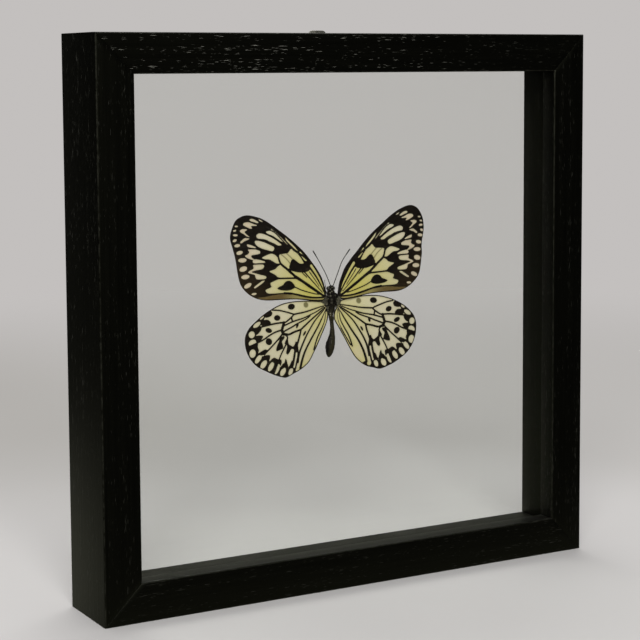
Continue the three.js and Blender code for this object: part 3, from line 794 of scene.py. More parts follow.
HINDWING_LINES = [
    # the veins that leave the root, from the front one to the rear one
    (0.25, 0.5, [(3.6, 6.5), (9.5, 5.4), (14.6, 4.4), (20.8, 3.7)]),
    (0.45, 0.4, [(20.8, 3.7), (24.0, 4.8), (28.4, 6.0), (32.0, 6.4)]),
    (0.5, 0.5, [(20.8, 3.7), (22.2, 2.4), (24.4, 0.9), (26.4, 0.0)]),
    (0.5, 0.55, [(22.0, 2.3), (21.9, 1.3), (21.6, 0.5)]),
    (0.2, 0.5, [(4.3, 5.9), (8.9, 3.9), (12.2, 2.8), (15.8, 1.6), (21.4, 0.4), (26.2, -1.1)]),
    (0.35, 0.5, [(12.2, 2.3), (14.5, 1.0), (19.1, -0.7), (21.7, -1.9), (26.2, -3.7)]),
    (0.4, 0.8, [(3.6, 5.7), (8.4, 2.6), (12.2, 0.1), (15.5, -2.3), (17.4, -3.6), (20.4, -4.3),
                 (23.7, -5.3), (26.6, -4.7)]),
    # the crossing that they share, and what leaves it
    (1.1, 1.2, [(26.2, 0.3), (26.8, -1.6), (27.2, -3.2), (26.4, -4.9)]),
    (0.55, 0.45, [(26.2, 0.4), (29.8, 0.3), (33.0, -0.1), (36.9, -0.7), (42.8, -1.6)]),
    (0.55, 0.45, [(27.5, -3.0), (30.8, -3.8), (33.9, -5.1), (37.5, -7.0), (44.6, -9.6)]),
    (0.6, 0.4, [(26.8, -4.6), (28.3, -6.3), (30.7, -8.5), (34.5, -11.8), (36.4, -13.6)]),
    (0.5, 0.5, [(25.9, -5.2), (24.7, -5.9), (24.3, -6.9)]),
    (0.5, 0.4, [(25.3, -10.0), (26.7, -12.4), (28.3, -15.3), (31.6, -22.8)]),
    (0.6, 0.7, [(17.2, -3.8), (17.8, -6.3), (18.6, -8.6), (19.4, -10.6)]),
    (0.75, 0.9, [(20.3, -12.3), (20.6, -14.5), (21.2, -17.4), (22.0, -20.5)]),
    (0.5, 0.6, [(19.3, -10.6), (18.9, -13.3), (18.9, -15.6), (19.6, -18.3), (20.2, -21.0)]),
    # the long fan of the rear half
    (0.15, 0.85, [(3.6, 5.4), (5.0, 4.0), (7.6, 1.8), (10.2, -0.9), (12.6, -4.1), (14.6, -7.2),
                  (16.3, -10.2), (17.7, -13.2), (18.6, -16.3), (19.0, -18.4)]),
    (0.25, 1.0, [(3.3, 4.9), (4.2, 3.3), (5.9, 0.4), (7.8, -2.7), (10.1, -6.1), (12.6, -9.7),
                 (14.5, -12.8), (16.0, -16.0), (17.0, -18.8), (17.6, -21.2)]),
    (0.25, 0.5, [(3.1, 4.7), (3.6, 2.6), (4.4, -1.1), (6.2, -4.6), (8.0, -7.6), (9.3, -10.6),
                 (10.2, -13.4)]),
    (0.15, 0.3, [(2.8, 4.0), (2.7, 1.6), (3.6, -2.4), (5.6, -6.4), (7.6, -9.9), (9.3, -12.8)]),
]
OLIVE_SPOT = (14.0, 7.5, 1.35, 1.35, 0)
print(len(FOREWING_CELLS), "cells on a forewing,", len(HINDWING_LINES), "dark lines on a hindwing")

# %% [markdown]
# ## Cutting a wing
# A real wing is a film far thinner than paper, stiffened by hollow veins that stand up a little on
# both faces, with the film sagging between them. The outline is read back from the CAD wing. A
# triangulation is then made that has a line of points along every vein, so each vein can be a real
# ridge, and both faces and the rim are closed.

# %% Wing shapes
WAIST_HEIGHT = 120.2
BODY_DEPTH = 26.3
WING_DEPTH = BODY_DEPTH - 0.5
FILM = 0.10
MESH_SPACING = 0.34
RIM_CLEARANCE = 0.3


def soft_ramp(t, softness):
    return (t + np.hypot(t, softness)) / 2


def forewing_rise(x, z):
    root = 1 - np.exp(-np.maximum(0, x - 2) / 3)
    return 1.4 * root - 0.1 * soft_ramp(z - 22, 4) - 0.08 * soft_ramp(x - 40, 4)


def hindwing_rise(x, z):
    return 1.9 * (1 - np.exp(-x / 12)) - 0.07 * soft_ramp(x - 36, 4) - 0.9 * fade(z, 3, 9)


def outline_of(node_name, side):
    """The front outline of a CAD wing as (x, z) in millimetres on a right-hand wing."""
    mesh = bmesh.new()
    mesh.from_mesh(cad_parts[node_name].data)
    bmesh.ops.remove_doubles(mesh, verts=mesh.verts[:], dist=0.002 * MM)
    mesh.normal_update()
    follows = {}
    for edge in mesh.edges:
        if len(edge.link_faces) != 2:
            continue
        rim = sorted(edge.link_faces, key=lambda face: face.normal.y)
        if rim[0].normal.y < -0.7 and abs(rim[1].normal.y) < 0.5:
            a, b = edge.verts
            follows.setdefault(a.index, []).append(b.index)
            follows.setdefault(b.index, []).append(a.index)
    mesh.verts.ensure_lookup_table()
    start = here = min(follows)
    last, chain = None, []
    while True:
        chain.append(mesh.verts[here].co / MM)
        ahead = [v for v in follows[here] if v != last][0]
        last, here = here, ahead
        if here == start:
            break
    mesh.free()
    outline = np.array([(v.x * side, v.z - WAIST_HEIGHT) for v in chain])
    (x, z), (next_x, next_z) = outline.T, np.roll(outline, -1, 0).T
    area = np.sum(x * next_z - z * next_x)
    return outline if area > 0 else outline[::-1]


def soft_noise(points, wavelength, seed):
    """A cheap smooth noise from a few crossing waves, from about -1 to 1."""
    rng = np.random.default_rng(seed)
    total = np.zeros(len(points))
    for _ in range(7):
        direction = rng.normal(size=2)
        direction *= 2 * np.pi / (wavelength * rng.uniform(0.7, 1.6) * np.hypot(*direction))
        total += np.sin(points @ direction + rng.uniform(0, 2 * np.pi))
    return total / 3.5


def triangulated(loop, lines, spacing):
    """Points and triangles that fill the closed loop and follow the lines."""
    guides = []
    for line in lines:
        path = spaced(smooth_line(line), spacing)
        keep = inside_loop(path, loop, WHOLE_WING) > RIM_CLEARANCE
        if keep.sum() > 2:
            guides.append(path[keep])
    low, high = loop.min(0), loop.max(0)
    rows = np.arange(low[1], high[1], spacing * math.sqrt(3) / 2)
    across = np.arange(low[0], high[0], spacing)
    grid = np.concatenate([
        np.stack([across + (k % 2) * spacing / 2, np.full(len(across), z)], 1)
        for k, z in enumerate(rows)
    ])
    too_close = 0.55 * spacing
    grid = grid[inside_loop(grid, loop, WHOLE_WING) > too_close]
    for path in guides:
        low, high = path.min(0) - spacing, path.max(0) + spacing
        close = np.flatnonzero(((grid > low) & (grid < high)).all(1))
        grid = np.delete(grid, close[off_path(grid[close], path) < too_close], 0)
    points, edges = [loop], [(i, (i + 1) % len(loop)) for i in range(len(loop))]
    count = len(loop)
    for path in guides:
        edges += [(count + i, count + i + 1) for i in range(len(path) - 1)]
        points.append(path)
        count += len(path)
    points.append(grid)
    flat = [Vector(p) for p in np.concatenate(points).tolist()]
    made = delaunay_2d_cdt(flat, edges, [], 1, 1e-5)
    xz = np.array([tuple(v) for v in made[0]])
    faces = np.array([f for f in made[2] if len(f) == 3])
    return xz, faces


def closed_sheet(xz, faces, front_depth, back_depth, side):
    """Front and back faces joined by a rim; returns the points and the faces."""
    count = len(xz)
    front, back = (
        np.stack([xz[:, 0] * side, depth, xz[:, 1] + WAIST_HEIGHT], 1)
        for depth in (front_depth, back_depth)
    )
    a, b, c = xz[faces[:, 0]], xz[faces[:, 1]], xz[faces[:, 2]]
    (bx, bz), (cx, cz) = (b - a).T, (c - a).T
    faces = np.where((bx * cz - bz * cx < 0)[:, None], faces[:, ::-1], faces)
    if side < 0:
        faces = faces[:, ::-1]
    directed = {(int(f[i]), int(f[(i + 1) % 3])) for f in faces for i in range(3)}
    rim = [(a, b) for a, b in directed if (b, a) not in directed]
    made = [tuple(f) for f in faces] + [tuple(f) for f in (faces[:, ::-1] + count)]
    made += [(b, a, a + count, b + count) for a, b in rim]
    return np.concatenate([front, back]), made


# %% [markdown]
# ## Scales
# The colour of a wing sits in its scales: rows of tiny overlapping shingles, seven or more to a
# millimetre. They make every edge slightly feathered and give the surface a dry, silky look. The
# group turns wing coordinates in millimetres into a fleck and a height, and the material uses the
# fleck to fray the line between pale and dark.

# %% Scale group
scales, here, out = effect(
    "wing scales",
    [("Wing", "Vector", None), ("Rows", "Float", 7.0), ("Fray", "Float", 0.06)],
    [("Fleck", "Float"), ("Height", "Float"), ("Fray", "Float")],
)
cells = node(scales, "TexVoronoi", {"Vector": here["Wing"], "Scale": here["Rows"]})
soft_rows = noise(scales, here["Wing"], 2.6, 3.0)
fleck = node(scales, "SeparateColor", {"Color": cells.outputs["Color"]}).outputs[0]
flecked = calc(scales, "MULTIPLY_ADD", fleck, 0.35, product(scales, soft_rows, 0.65))
feed(scales, out["Fleck"], flecked)
feed(scales, out["Height"], cells.outputs["Distance"])
uneven = calc(scales, "MULTIPLY_ADD", fleck, 0.5, product(scales, soft_rows, 0.9))
wander = calc(scales, "SUBTRACT", uneven, 0.7)
feed(scales, out["Fray"], product(scales, wander, here["Fray"]))

# %% Wing finish
wing_finish, tree, shader = new_finish("scaled wing", Specular_IOR_Level=0.08, Sheen_Weight=0.0)
shingles = use(tree, scales, Wing=attribute(tree, "wing", "Vector"), Fray=0.16)
frayed = calc(tree, "ADD", attribute(tree, "marking"), shingles["Fray"])
ink = step(tree, frayed, -0.05, 0.05)
halo = step(tree, frayed, -0.9, 0.0)
cream, brown = colour(0.56, 0.508, 0.375), colour(0.0030, 0.0016, 0.0008)
for amount, tint in (
    (attribute(tree, "yellow"), colour(0.47, 0.415, 0.055)),
    (attribute(tree, "rosy"), colour(0.53, 0.44, 0.31)),
    (product(tree, shingles["Fleck"], 0.25), colour(0.66, 0.64, 0.50)),
    (product(tree, halo, 0.22), colour(0.20, 0.155, 0.05)),
    (attribute(tree, "olive"), colour(0.072, 0.060, 0.008)),
    (attribute(tree, "hem"), colour(0.115, 0.078, 0.026)),
):
    cream = blend(tree, amount, cream, tint)
for amount, tint in (
    (attribute(tree, "bleached"), colour(0.022, 0.013, 0.004)),
    (product(tree, shingles["Fleck"], 0.2), colour(0.016, 0.010, 0.005)),
):
    brown = blend(tree, amount, brown, tint)
feed(tree, shader.inputs["Base Color"], blend(tree, ink, cream, brown))
feed(tree, shader.inputs["Roughness"], calc(tree, "MULTIPLY_ADD", shingles["Fleck"], 0.25, 0.5))
relief(tree, shader, shingles["Height"], 0.02, 0.35)


# %% [markdown]
# ## Setting the four wings
# No two wings of a specimen are alike. The drawing is stretched by one part in a hundred, more on
# the right than on the left, and each wing sags and ripples in its own way. Ink has run a little
# from the veins (`spread`), but not near the root, where the lines are finest.

# %% Wings
SAG, SAG_WIDTH = 0.16, 1.1
RIPPLE, RIPPLE_LENGTH = 0.10, 9.0
RIDGE, RIDGE_WIDTH = 0.07, 0.2
FREE_OF_SPREAD = (2.0, 7.0)


def wing(name, node_name, side, rise, drawing, stretch):
    loop = spaced(smooth_loop(outline_of(node_name, side), 3), MESH_SPACING, closed=True)
    lines = [np.array(line) / (1 / stretch, 1) - (0, DATUM_DROP) for _, _, line in drawing["lines"]]
    xz, faces = triangulated(loop, lines, MESH_SPACING)
    drawn = xz / (stretch, 1) + (0, DATUM_DROP)
    veins = np.full(len(xz), FAR)
    ink = drawing["edge"] - inside_loop(xz, loop, WHOLE_WING)
    spread = drawing["spread"] * fade(drawn[:, 0], *FREE_OF_SPREAD)
    for first, last, line in drawing["lines"]:
        path = smooth_line(line)
        veins = np.minimum(veins, off_path(drawn, path))
        ink = np.maximum(ink, spread - off_line(drawn, path, first, last))
    ink = np.maximum(ink, nearest_inside(drawn, map(smooth_loop, drawing["blots"])))
    ink = np.maximum(ink, drawing["ground"](drawn))
    sag = SAG * (1 - np.exp(-veins / SAG_WIDTH))
    sag = sag + RIPPLE * soft_noise(xz, RIPPLE_LENGTH, drawing["seed"] + side)
    ridge = RIDGE * np.exp(-((veins / RIDGE_WIDTH) ** 2))
    depth = WING_DEPTH - rise(xz[:, 0], xz[:, 1]) + sag
    front, back = depth - FILM / 2 - ridge, depth + FILM / 2 + 0.6 * ridge
    points, made = closed_sheet(xz, faces, front, back, side)
    piece = mesh_piece(name, points, made, wing_finish, "wing", replaces=node_name, sharp_degrees=60)
    both = np.concatenate([np.arange(len(xz))] * 2)
    store(piece, "marking", ink[both])
    store(piece, "wing", np.stack([xz[:, 0], xz[:, 1], np.full(len(xz), 30.0 * side)], 1)[both])
    for label in ("yellow", "rosy", "olive", "bleached", "hem"):
        store(piece, label, np.clip(drawing[label](drawn), 0, 1)[both])
    print(name, len(made), "faces; dark share", round(float((ink > 0).mean()), 2))


def forewing_ground(points):
    """Dark everywhere but in the cells, the hem and the ovals."""
    loops = [smooth_loop(cell) for cell in FOREWING_CELLS + [FOREWING_HEM]]
    return -nearest_inside(points, loops + [oval(*spot) for spot in FOREWING_OVALS])


def hindwing_ground(points):
    """Pale everywhere but in the border, outside its ovals."""
    border = inside_loop(points, smooth_loop(HINDWING_BORDER, 2), WHOLE_WING)
    return np.minimum(border, -nearest_inside(points, [oval(*spot) for spot in HINDWING_OVALS]))


def hem_shade(points):
    """The hem's own colour, stronger towards the wing's corner."""
    on_hem = fade(inside_loop(points, smooth_loop(FOREWING_HEM)), -0.3, 0.0)
    return on_hem * (0.55 + 0.45 * fade(points[:, 0], 17, 28))


def inner_flap(points):
    """One on the flap beside the abdomen, fading out a few millimetres past its vein."""
    return 1 - fade(points[:, 0] + 0.62 * (points[:, 1] - 3.0), 2.5, 6.5)


def faint_lines(points):
    lines = [smooth_line(line) for line in FOREWING_FAINT]
    return 0.75 * (1 - fade(np.min([off_path(points, line) for line in lines], 0), 0.05, 0.5))


forewing_drawing = {
    "lines": FOREWING_LINES,
    "blots": FOREWING_BLOTS,
    "edge": 0.35,
    "spread": 0.08,
    "seed": 5,
    "ground": forewing_ground,
    "yellow": lambda p: np.clip(1.05 - np.hypot(p[:, 0] - 12, p[:, 1] - 14) / 33, 0.0, 1.0),
    "rosy": lambda p: fade(p[:, 0], 34, 44),
    "olive": faint_lines,
    "bleached": lambda p: fade(p[:, 0] - p[:, 1], 8, 30) * 0.8,
    "hem": hem_shade,
}
hindwing_drawing = {
    "lines": HINDWING_LINES,
    "blots": [np.array(patch) for patch in HINDWING_PATCHES] + [oval(*spot, 8) for spot in HINDWING_SPOTS],
    "edge": 0.45,
    "spread": 0.14,
    "seed": 11,
    "ground": hindwing_ground,
    "yellow": lambda p: np.clip(
        np.maximum(0.72 - np.hypot(p[:, 0] - 6, p[:, 1]) / 30, 0.55 * inner_flap(p)), 0.1, 0.7,
    ),
    "rosy": lambda p: 0.4 * (1 - fade(np.hypot(p[:, 0] - 13.5, p[:, 1] + 16.5), 1.5, 4.0)),
    "olive": lambda p: 0.8 * fade(inside_loop(p, oval(*OLIVE_SPOT)), -0.2, 0.3),
    "bleached": lambda p: 0.1 + 0 * p[:, 0],
    "hem": lambda p: 0 * p[:, 0],
}
for label, side, stretch in (("left", -1, 0.991), ("right", 1, 1.009)):
    for pair, rise, drawing in (
        ("forewing", forewing_rise, forewing_drawing), ("hindwing", hindwing_rise, hindwing_drawing),
    ):
        wing(f"{label}_{pair}", f"{pair}_{label}", side, rise, drawing, stretch)

# %% [markdown]
# ## The body
# A butterfly's thorax is a furry barrel of flight muscle with the head in front and the abdomen
# behind. It has no hard outline anywhere, so we heap up ellipsoids for the muscles and let a voxel
# remesh melt them into one skin. Limbs, feelers and the abdomen are tubes swept along a line, with a
# radius that swells and narrows at every joint.


# %% Body helpers
def on_body(points):
    """From (x, depth behind the axis, height above the waist) on the body to places in the frame."""
    return np.asarray(points, float) + (0.0, BODY_DEPTH, WAIST_HEIGHT)


def finished(item):
    """The mesh of an object after its modifiers, or of a curve."""
    return item.evaluated_get(bpy.context.evaluated_depsgraph_get()).to_mesh()


def melted(lumps, voxel, rounds):
    """One closed skin around overlapping ellipsoids, each (centre, radii, tilt in degrees)."""
    mesh = bmesh.new()
    for centre, radii, tilt in lumps:
        turn = Matrix.Rotation(math.radians(tilt), 4, "Y")
        shape = Matrix.Translation(Vector(centre)) @ turn @ Matrix.Diagonal((*radii, 1.0))
        bmesh.ops.create_icosphere(mesh, subdivisions=4, radius=1.0, matrix=shape)
    data = bpy.data.meshes.new("lumps")
    mesh.to_mesh(data)
    mesh.free()
    heap = put("lumps", data)
    skin = heap.modifiers.new("skin", "REMESH")
    skin.mode = "VOXEL"
    skin.voxel_size = voxel
    soften = heap.modifiers.new("soften", "SMOOTH")
    soften.iterations = rounds
    made = finished(heap)
    points = np.array([vertex.co for vertex in made.vertices])
    normals = np.array([vertex.normal for vertex in made.vertices])
    faces = [tuple(polygon.vertices) for polygon in made.polygons]
    bpy.data.objects.remove(heap)
    return points, normals, faces


def tube(path, radii, around=12):
    """A closed tube round a path of (x, depth, z) points."""
    path, radii = np.asarray(path, float), np.asarray(radii, float)
    along = np.gradient(path, axis=0)
    along /= np.linalg.norm(along, axis=1)[:, None]
    side = np.cross(along, (0.0, 1.0, 0.0))
    side /= np.linalg.norm(side, axis=1)[:, None]
    up = np.cross(side, along)
    angle = np.linspace(0, 2 * np.pi, around, endpoint=False)
    ring = np.cos(angle)[None, :, None] * side[:, None] + np.sin(angle)[None, :, None] * up[:, None]
    points = path[:, None] + ring * radii[:, None, None]
    return points.reshape(-1, 3), ring_faces(len(path), around)


def merged(parts):
    """Several (points, faces) as one."""
    points, faces, count = [], [], 0
    for part_points, part_faces in parts:
        points.append(part_points)
        faces += [tuple(index + count for index in face) for face in part_faces]
        count += len(part_points)
    return np.concatenate(points), faces


def paint_body(piece, points, pale_spots=(), olive=0.0):
    """Pale and olive dust of scales, and a painted sheen where spots give one, as numbers on the points;
    spots are (x, z, radius, strength).
    """
    pale = np.zeros(len(points))
    for x, z, radius, strength in pale_spots:
        reach = np.hypot(points[:, 0] - x, points[:, 2] - z)
        pale = np.maximum(pale, strength * (1 - fade(reach, 0.4 * radius, radius)))
    store(piece, "pale", pale)
    mottle = 0.75 + 0.5 * soft_noise(points[:, [0, 2]], 0.9, 8)
    store(piece, "olive", np.clip(np.broadcast_to(olive, len(points)) * mottle, 0, 1))


def insect_piece(name, points, faces, material=None, **options):
    return mesh_piece(name, on_body(points), faces, material or insect_finish, "insect_body", **options)


# %% Insect finish
insect_finish, tree, shader = new_finish("scaled chitin", Specular_IOR_Level=0.08, Sheen_Roughness=0.45)
shingles = use(tree, scales, Wing=place_in_mm(tree), Rows=9.0)
dark = blend(tree, shingles["Fleck"], colour(0.0010, 0.0006, 0.0004), colour(0.007, 0.005, 0.0035))
dusted = blend(tree, shingles["Fleck"], colour(0.012, 0.010, 0.004), colour(0.056, 0.048, 0.022))
scaled = blend(tree, attribute(tree, "olive"), dark, dusted)
scaled = blend(tree, attribute(tree, "pale"), scaled, colour(0.42, 0.39, 0.28))
feed(tree, shader.inputs["Base Color"], scaled)
feed(tree, shader.inputs["Roughness"], calc(tree, "MULTIPLY_ADD", shingles["Fleck"], 0.3, 0.42))
relief(tree, shader, shingles["Height"], 0.03, 0.4)

eye_finish, tree, shader = new_finish(
    "compound eye", Specular_IOR_Level=0.5, Coat_Weight=0.3, Coat_Roughness=0.2,
)
cloudy = noise(tree, place_in_mm(tree), 0.9, 2.0)
eye_colour = blend(tree, cloudy, colour(0.004, 0.003, 0.002), colour(0.016, 0.012, 0.007))
feed(tree, shader.inputs["Base Color"], eye_colour)
feed(tree, shader.inputs["Roughness"], calc(tree, "MULTIPLY_ADD", cloudy, 0.2, 0.22))

# %% [markdown]
# The thorax has a groove down its back, where the two great flight muscles meet. Small shoulder
# lobes cover the hinges of the forewings. Head, collar, thorax and hinges are one skin.

# %% Head and thorax
HEAD = (-0.4, -0.3, 13.5)
MELT_VOXEL, MELT_ROUNDS = 0.11, 4
GROOVE_DEPTH, GROOVE_WIDTH = 0.16, 0.16
lumps = [
    ((0.0, 0.0, 8.3), (2.2, 2.15, 3.5), 0), ((0.0, 0.1, 5.0), (1.8, 1.8, 2.1), 0),
    ((0.55, -1.1, 8.9), (1.2, 1.1, 2.5), 4), ((-0.55, -1.1, 8.9), (1.2, 1.1, 2.5), -4),
    ((0.0, -1.0, 5.7), (0.95, 0.85, 0.8), 0), ((0.0, 0.0, 3.4), (1.35, 1.4, 1.5), 0),
    ((-0.15, -0.1, 11.9), (1.75, 1.5, 1.3), 0), (HEAD, (1.35, 1.3, 1.35), 0),
    ((-0.3, -0.7, 14.5), (0.75, 0.75, 0.55), 0), ((-0.3, 0.4, 14.1), (0.7, 0.8, 0.7), 0),
]
for side in (-1, 1):
    lumps += [
        ((0.75 * side - 0.15, -1.2, 11.7), (0.75, 0.5, 0.75), 10 * side),
        ((2.2 * side, -1.0, 10.0), (0.95, 0.7, 1.5), -22 * side),
        ((2.7 * side, -0.5, 9.5), (1.5, 0.65, 0.95), 0), ((2.4 * side, -0.4, 6.3), (1.5, 0.75, 1.2), 0),
        ((0.85 * side, 1.4, 10.1), (0.6, 0.75, 1.0), 12 * side),
        ((1.2 * side, 1.2, 8.4), (0.65, 0.8, 1.1), 14 * side),
        ((1.1 * side, 1.0, 6.6), (0.65, 0.8, 1.1), 16 * side),
    ]
thorax_points, thorax_normals, thorax_faces = melted(lumps, MELT_VOXEL, MELT_ROUNDS)
on_top = fade(-thorax_normals[:, 1], 0.1, 0.8)
groove = np.exp(-((thorax_points[:, 0] / GROOVE_WIDTH) ** 2)) * fade(thorax_points[:, 2], 5.6, 6.6)
groove *= 1 - fade(thorax_points[:, 2], 10.4, 11.2)
ruffle = 0.035 * soft_noise(thorax_points[:, [0, 2]], 0.8, 3)
thorax_points = thorax_points + thorax_normals * (ruffle - GROOVE_DEPTH * groove * on_top)[:, None]
# Pale dots and a painted sheen, as (x, height above the waist, radius, strength). The four soft, weak spots
# on the back of the thorax, at heights 10.4, 8.6 and 7.2, are the painted sheen.
PALE_DOTS_AND_PAINTED_SHEEN = [
    (-1.15, 13.35, 0.28, 0.5), (-0.4, 12.3, 0.3, 0.7), (0.55, 13.1, 0.28, 0.6), (-0.2, 14.2, 0.3, 0.4),
    (-1.3, 11.7, 0.35, 0.5), (0.95, 11.9, 0.3, 0.4), (-1.2, 10.4, 0.5, 0.25), (1.2, 10.4, 0.45, 0.25),
    (-0.8, 8.6, 0.7, 0.12), (-0.7, 7.2, 0.8, 0.10), (-2.5, 8.9, 0.55, 0.4), (2.8, 8.8, 0.6, 0.6),
    (-3.0, 10.8, 0.5, 0.25), (-2.9, 6.5, 0.6, 0.5), (2.9, 6.2, 0.6, 0.5), (-2.3, 5.0, 0.4, 0.4),
]
thorax = insect_piece("head_and_thorax", thorax_points, thorax_faces, replaces="butterfly_body")
paint_body(thorax, thorax_points, PALE_DOTS_AND_PAINTED_SHEEN, olive=0.35 * (1 - fade(thorax_points[:, 2], 4.0, 7.0)))
print("head and thorax:", len(thorax_faces), "faces")

# %% [markdown]
# The abdomen is ten rings of armour that telescope into each other. Each ring overlaps the next, so
# the radius grows slowly and drops back at every edge, and a soft fold runs along both sides.

# %% Abdomen
# The abdomen's middle line, as (height above the waist, x, radius).
ABDOMEN_LINE = [
    (4.6, -0.1, 1.4), (3.0, -0.25, 1.36), (1.0, -0.25, 1.16), (-2.0, 0.2, 0.92), (-5.0, 0.5, 1.0),
    (-8.0, 0.42, 1.37), (-10.5, 0.0, 1.87), (-13.0, -0.65, 2.2), (-15.0, -0.9, 1.98), (-16.6, -1.18, 1.55),
    (-17.6, -1.3, 1.05), (-18.2, -1.35, 0.6), (-18.42, -1.36, 0.2),
]
RING_EDGES = np.array([3.2, 1.0, -1.6, -4.4, -7.2, -9.9, -12.4, -14.7, -16.5, -17.7])
STEP_AT_EDGE, EDGE_WIDTH = 0.05, 0.16
ABDOMEN_SIDES = 56
stations = spaced(smooth_line(ABDOMEN_LINE, 8), 0.14)
past_edge = RING_EDGES[None] - stations[:, :1]
past_edge = np.min(np.where(past_edge >= 0, past_edge, FAR), 1)
ring_shape = 0.95 + STEP_AT_EDGE * fade(past_edge, 0.0, 2.2)
ring_shape = ring_shape - STEP_AT_EDGE * np.exp(-((past_edge / EDGE_WIDTH) ** 2))
centre_line = np.stack([stations[:, 1], np.zeros(len(stations)), stations[:, 0]], 1)
abdomen_points, abdomen_faces = tube(centre_line, stations[:, 2] * ring_shape, ABDOMEN_SIDES)
outward = abdomen_points - np.repeat(centre_line, ABDOMEN_SIDES, 0)
slope = np.abs(outward[:, 1]) / np.maximum(np.linalg.norm(outward, axis=1), 1e-6)
fold = np.exp(-(((slope - 0.25) / 0.14) ** 2)) * (outward[:, 1] > 0)
abdomen_points = abdomen_points - outward * (0.07 * fold)[:, None]
abdomen = insect_piece("abdomen", abdomen_points, abdomen_faces, sharp_degrees=50)
off_middle = np.abs(abdomen_points[:, 0] - np.repeat(centre_line[:, 0], ABDOMEN_SIDES))
flank = 0.75 - 0.75 * fade(off_middle, 0.5, 1.6)
paint_body(abdomen, abdomen_points, [(-1.0, 2.1, 0.4, 0.5), (-0.95, 1.2, 0.35, 0.4)], olive=flank)
print("abdomen:", len(stations), "rings of points")

# %% [markdown]
# A compound eye is packed with hexagonal lenses. Nearly every point of an icosphere has six
# neighbours, so sinking the middle of each triangle leaves the points proud in just that packing, and
# the eyes glint in facets instead of in one spot.

# %% Eyes
EYE_SHAPE = Matrix.Diagonal((0.90, 0.95, 1.0, 1.0))
EYE_SPREAD = 1.28
FACET_HEIGHT = -0.035
for name, side in (("left_eye", -1), ("right_eye", 1)):
    ball = bmesh.new()
    place = Matrix.Translation((HEAD[0] + EYE_SPREAD * side, HEAD[1], HEAD[2] + 0.1))
    lean = Matrix.Rotation(math.radians(8 * side), 4, "Y")
    bmesh.ops.create_icosphere(ball, subdivisions=4, radius=1.0, matrix=place @ lean @ EYE_SHAPE)
    bmesh.ops.poke(ball, faces=ball.faces[:], offset=FACET_HEIGHT)
    ball.verts.index_update()
    points = np.array([vertex.co for vertex in ball.verts])
    faces = [tuple(vertex.index for vertex in face.verts) for face in ball.faces]
    ball.free()
    insect_piece(name, points, faces, eye_finish)

# %% [markdown]
# Feelers are strings of some forty beads that thicken into a slim club. Legs have a thick thigh, a
# slimmer shin and a thin foot of five short joints. The tongue is coiled up like a watch spring.

# %% Feelers, legs, palps and tongue
FEELERS = {
    "left_antenna": [(-0.6, -1.0, 14.3), (-3.0, -0.9, 20.0), (-6.0, -0.8, 25.4), (-9.8, -0.6, 31.6)],
    "right_antenna": [(0.3, -1.0, 14.3), (3.2, -0.9, 20.8), (5.6, -0.8, 26.0), (9.8, -0.6, 31.3)],
}
BEAD_LENGTH, BEAD_STEPS = 0.44, 6
FEELER_RADIUS, CLUB_SWELL = 0.20, 0.09
for name, line in FEELERS.items():
    path = spaced(smooth_line(line, 16), BEAD_LENGTH / BEAD_STEPS)
    walked = np.arange(len(path)) / (len(path) - 1)
    bead = np.abs(np.sin(np.pi * np.arange(len(path)) / BEAD_STEPS))
    club = fade(walked, 0.78, 0.93) * (1 - 0.75 * fade(walked, 0.965, 1.0))
    radii = (FEELER_RADIUS + CLUB_SWELL * club) * (0.84 + 0.16 * bead)
    radii[-1] *= 0.4
    points, faces = tube(path, radii, 10)
    piece = insect_piece(name, points, faces)
    paint_body(piece, points, olive=0.1)

LEGS = [
    [(-0.9, 1.4, 10.4), (-1.8, 2.1, 12.6), (-1.7, 2.2, 14.6), (-2.1, 2.2, 17.2)],
    [(0.9, 1.4, 10.4), (1.9, 2.1, 12.4), (1.4, 2.2, 14.6)],
    [(-1.3, 1.3, 8.8), (-3.6, 2.2, 8.4), (-4.3, 2.3, 4.2), (-3.9, 2.3, 0.4)],
    [(1.3, 1.3, 8.8), (3.6, 2.2, 8.2), (4.1, 2.3, 4.0), (4.0, 2.3, 0.8)],
    [(-1.2, 1.2, 7.0), (-3.0, 2.2, 4.2), (-2.6, 2.3, -1.6), (-2.9, 2.3, -6.0)],
    [(1.2, 1.2, 7.0), (3.0, 2.2, 4.4), (2.4, 2.3, -2.2), (2.6, 2.3, -5.6)],
]
# Radius at the start and the end of thigh, shin and foot.
THICKNESS = ((0.30, 0.26), (0.20, 0.17), (0.12, 0.10))
LEG_STATIONS = 25
LEG_BOW = 0.12
FOOT, FOOT_JOINTS = 2, 5
limbs = []
for line in LEGS:
    knots = np.array(line)
    for i, (first, last) in enumerate(THICKNESS[: len(line) - 1]):
        start, end = knots[i], knots[i + 1]
        share = np.linspace(-0.02, 1.02, LEG_STATIONS)
        path = start + (end - start) * share[:, None]
        arch = np.sin(np.pi * np.clip(share, 0, 1))
        path[:, 0] += arch * LEG_BOW * np.sign(start[0])
        radii = first + (last - first) * share
        if i == FOOT:
            radii = radii * (1 + 0.22 * np.cos(2 * np.pi * FOOT_JOINTS * share))
        else:
            radii = radii * (0.86 + 0.24 * arch)
        radii[[0, -1]] *= 0.5
        limbs.append(tube(path, radii, 10))
    tip = knots[-1]
    heading = tip - knots[-2]
    heading /= np.linalg.norm(heading)
    for spread in (-1, 1):
        bend = tip + heading * 0.18 + (0.08 * spread, -0.02, 0)
        point = tip + heading * 0.26 + (0.15 * spread, 0.1, 0)
        claw = smooth_line([tip, bend, point])
        limbs.append(tube(claw, np.linspace(0.05, 0.012, len(claw)), 6))

PALP_RADIUS = 0.26
for x, tip_x in ((-0.85, -1.0), (0.25, 0.4)):
    palp = smooth_line([(x, -0.7, 14.0), (x * 1.02, -1.1, 14.8), (tip_x, -1.3, 15.35)], 8)
    limbs.append(tube(palp, PALP_RADIUS * np.sqrt(np.linspace(1.0, 0.12, len(palp))), 12))

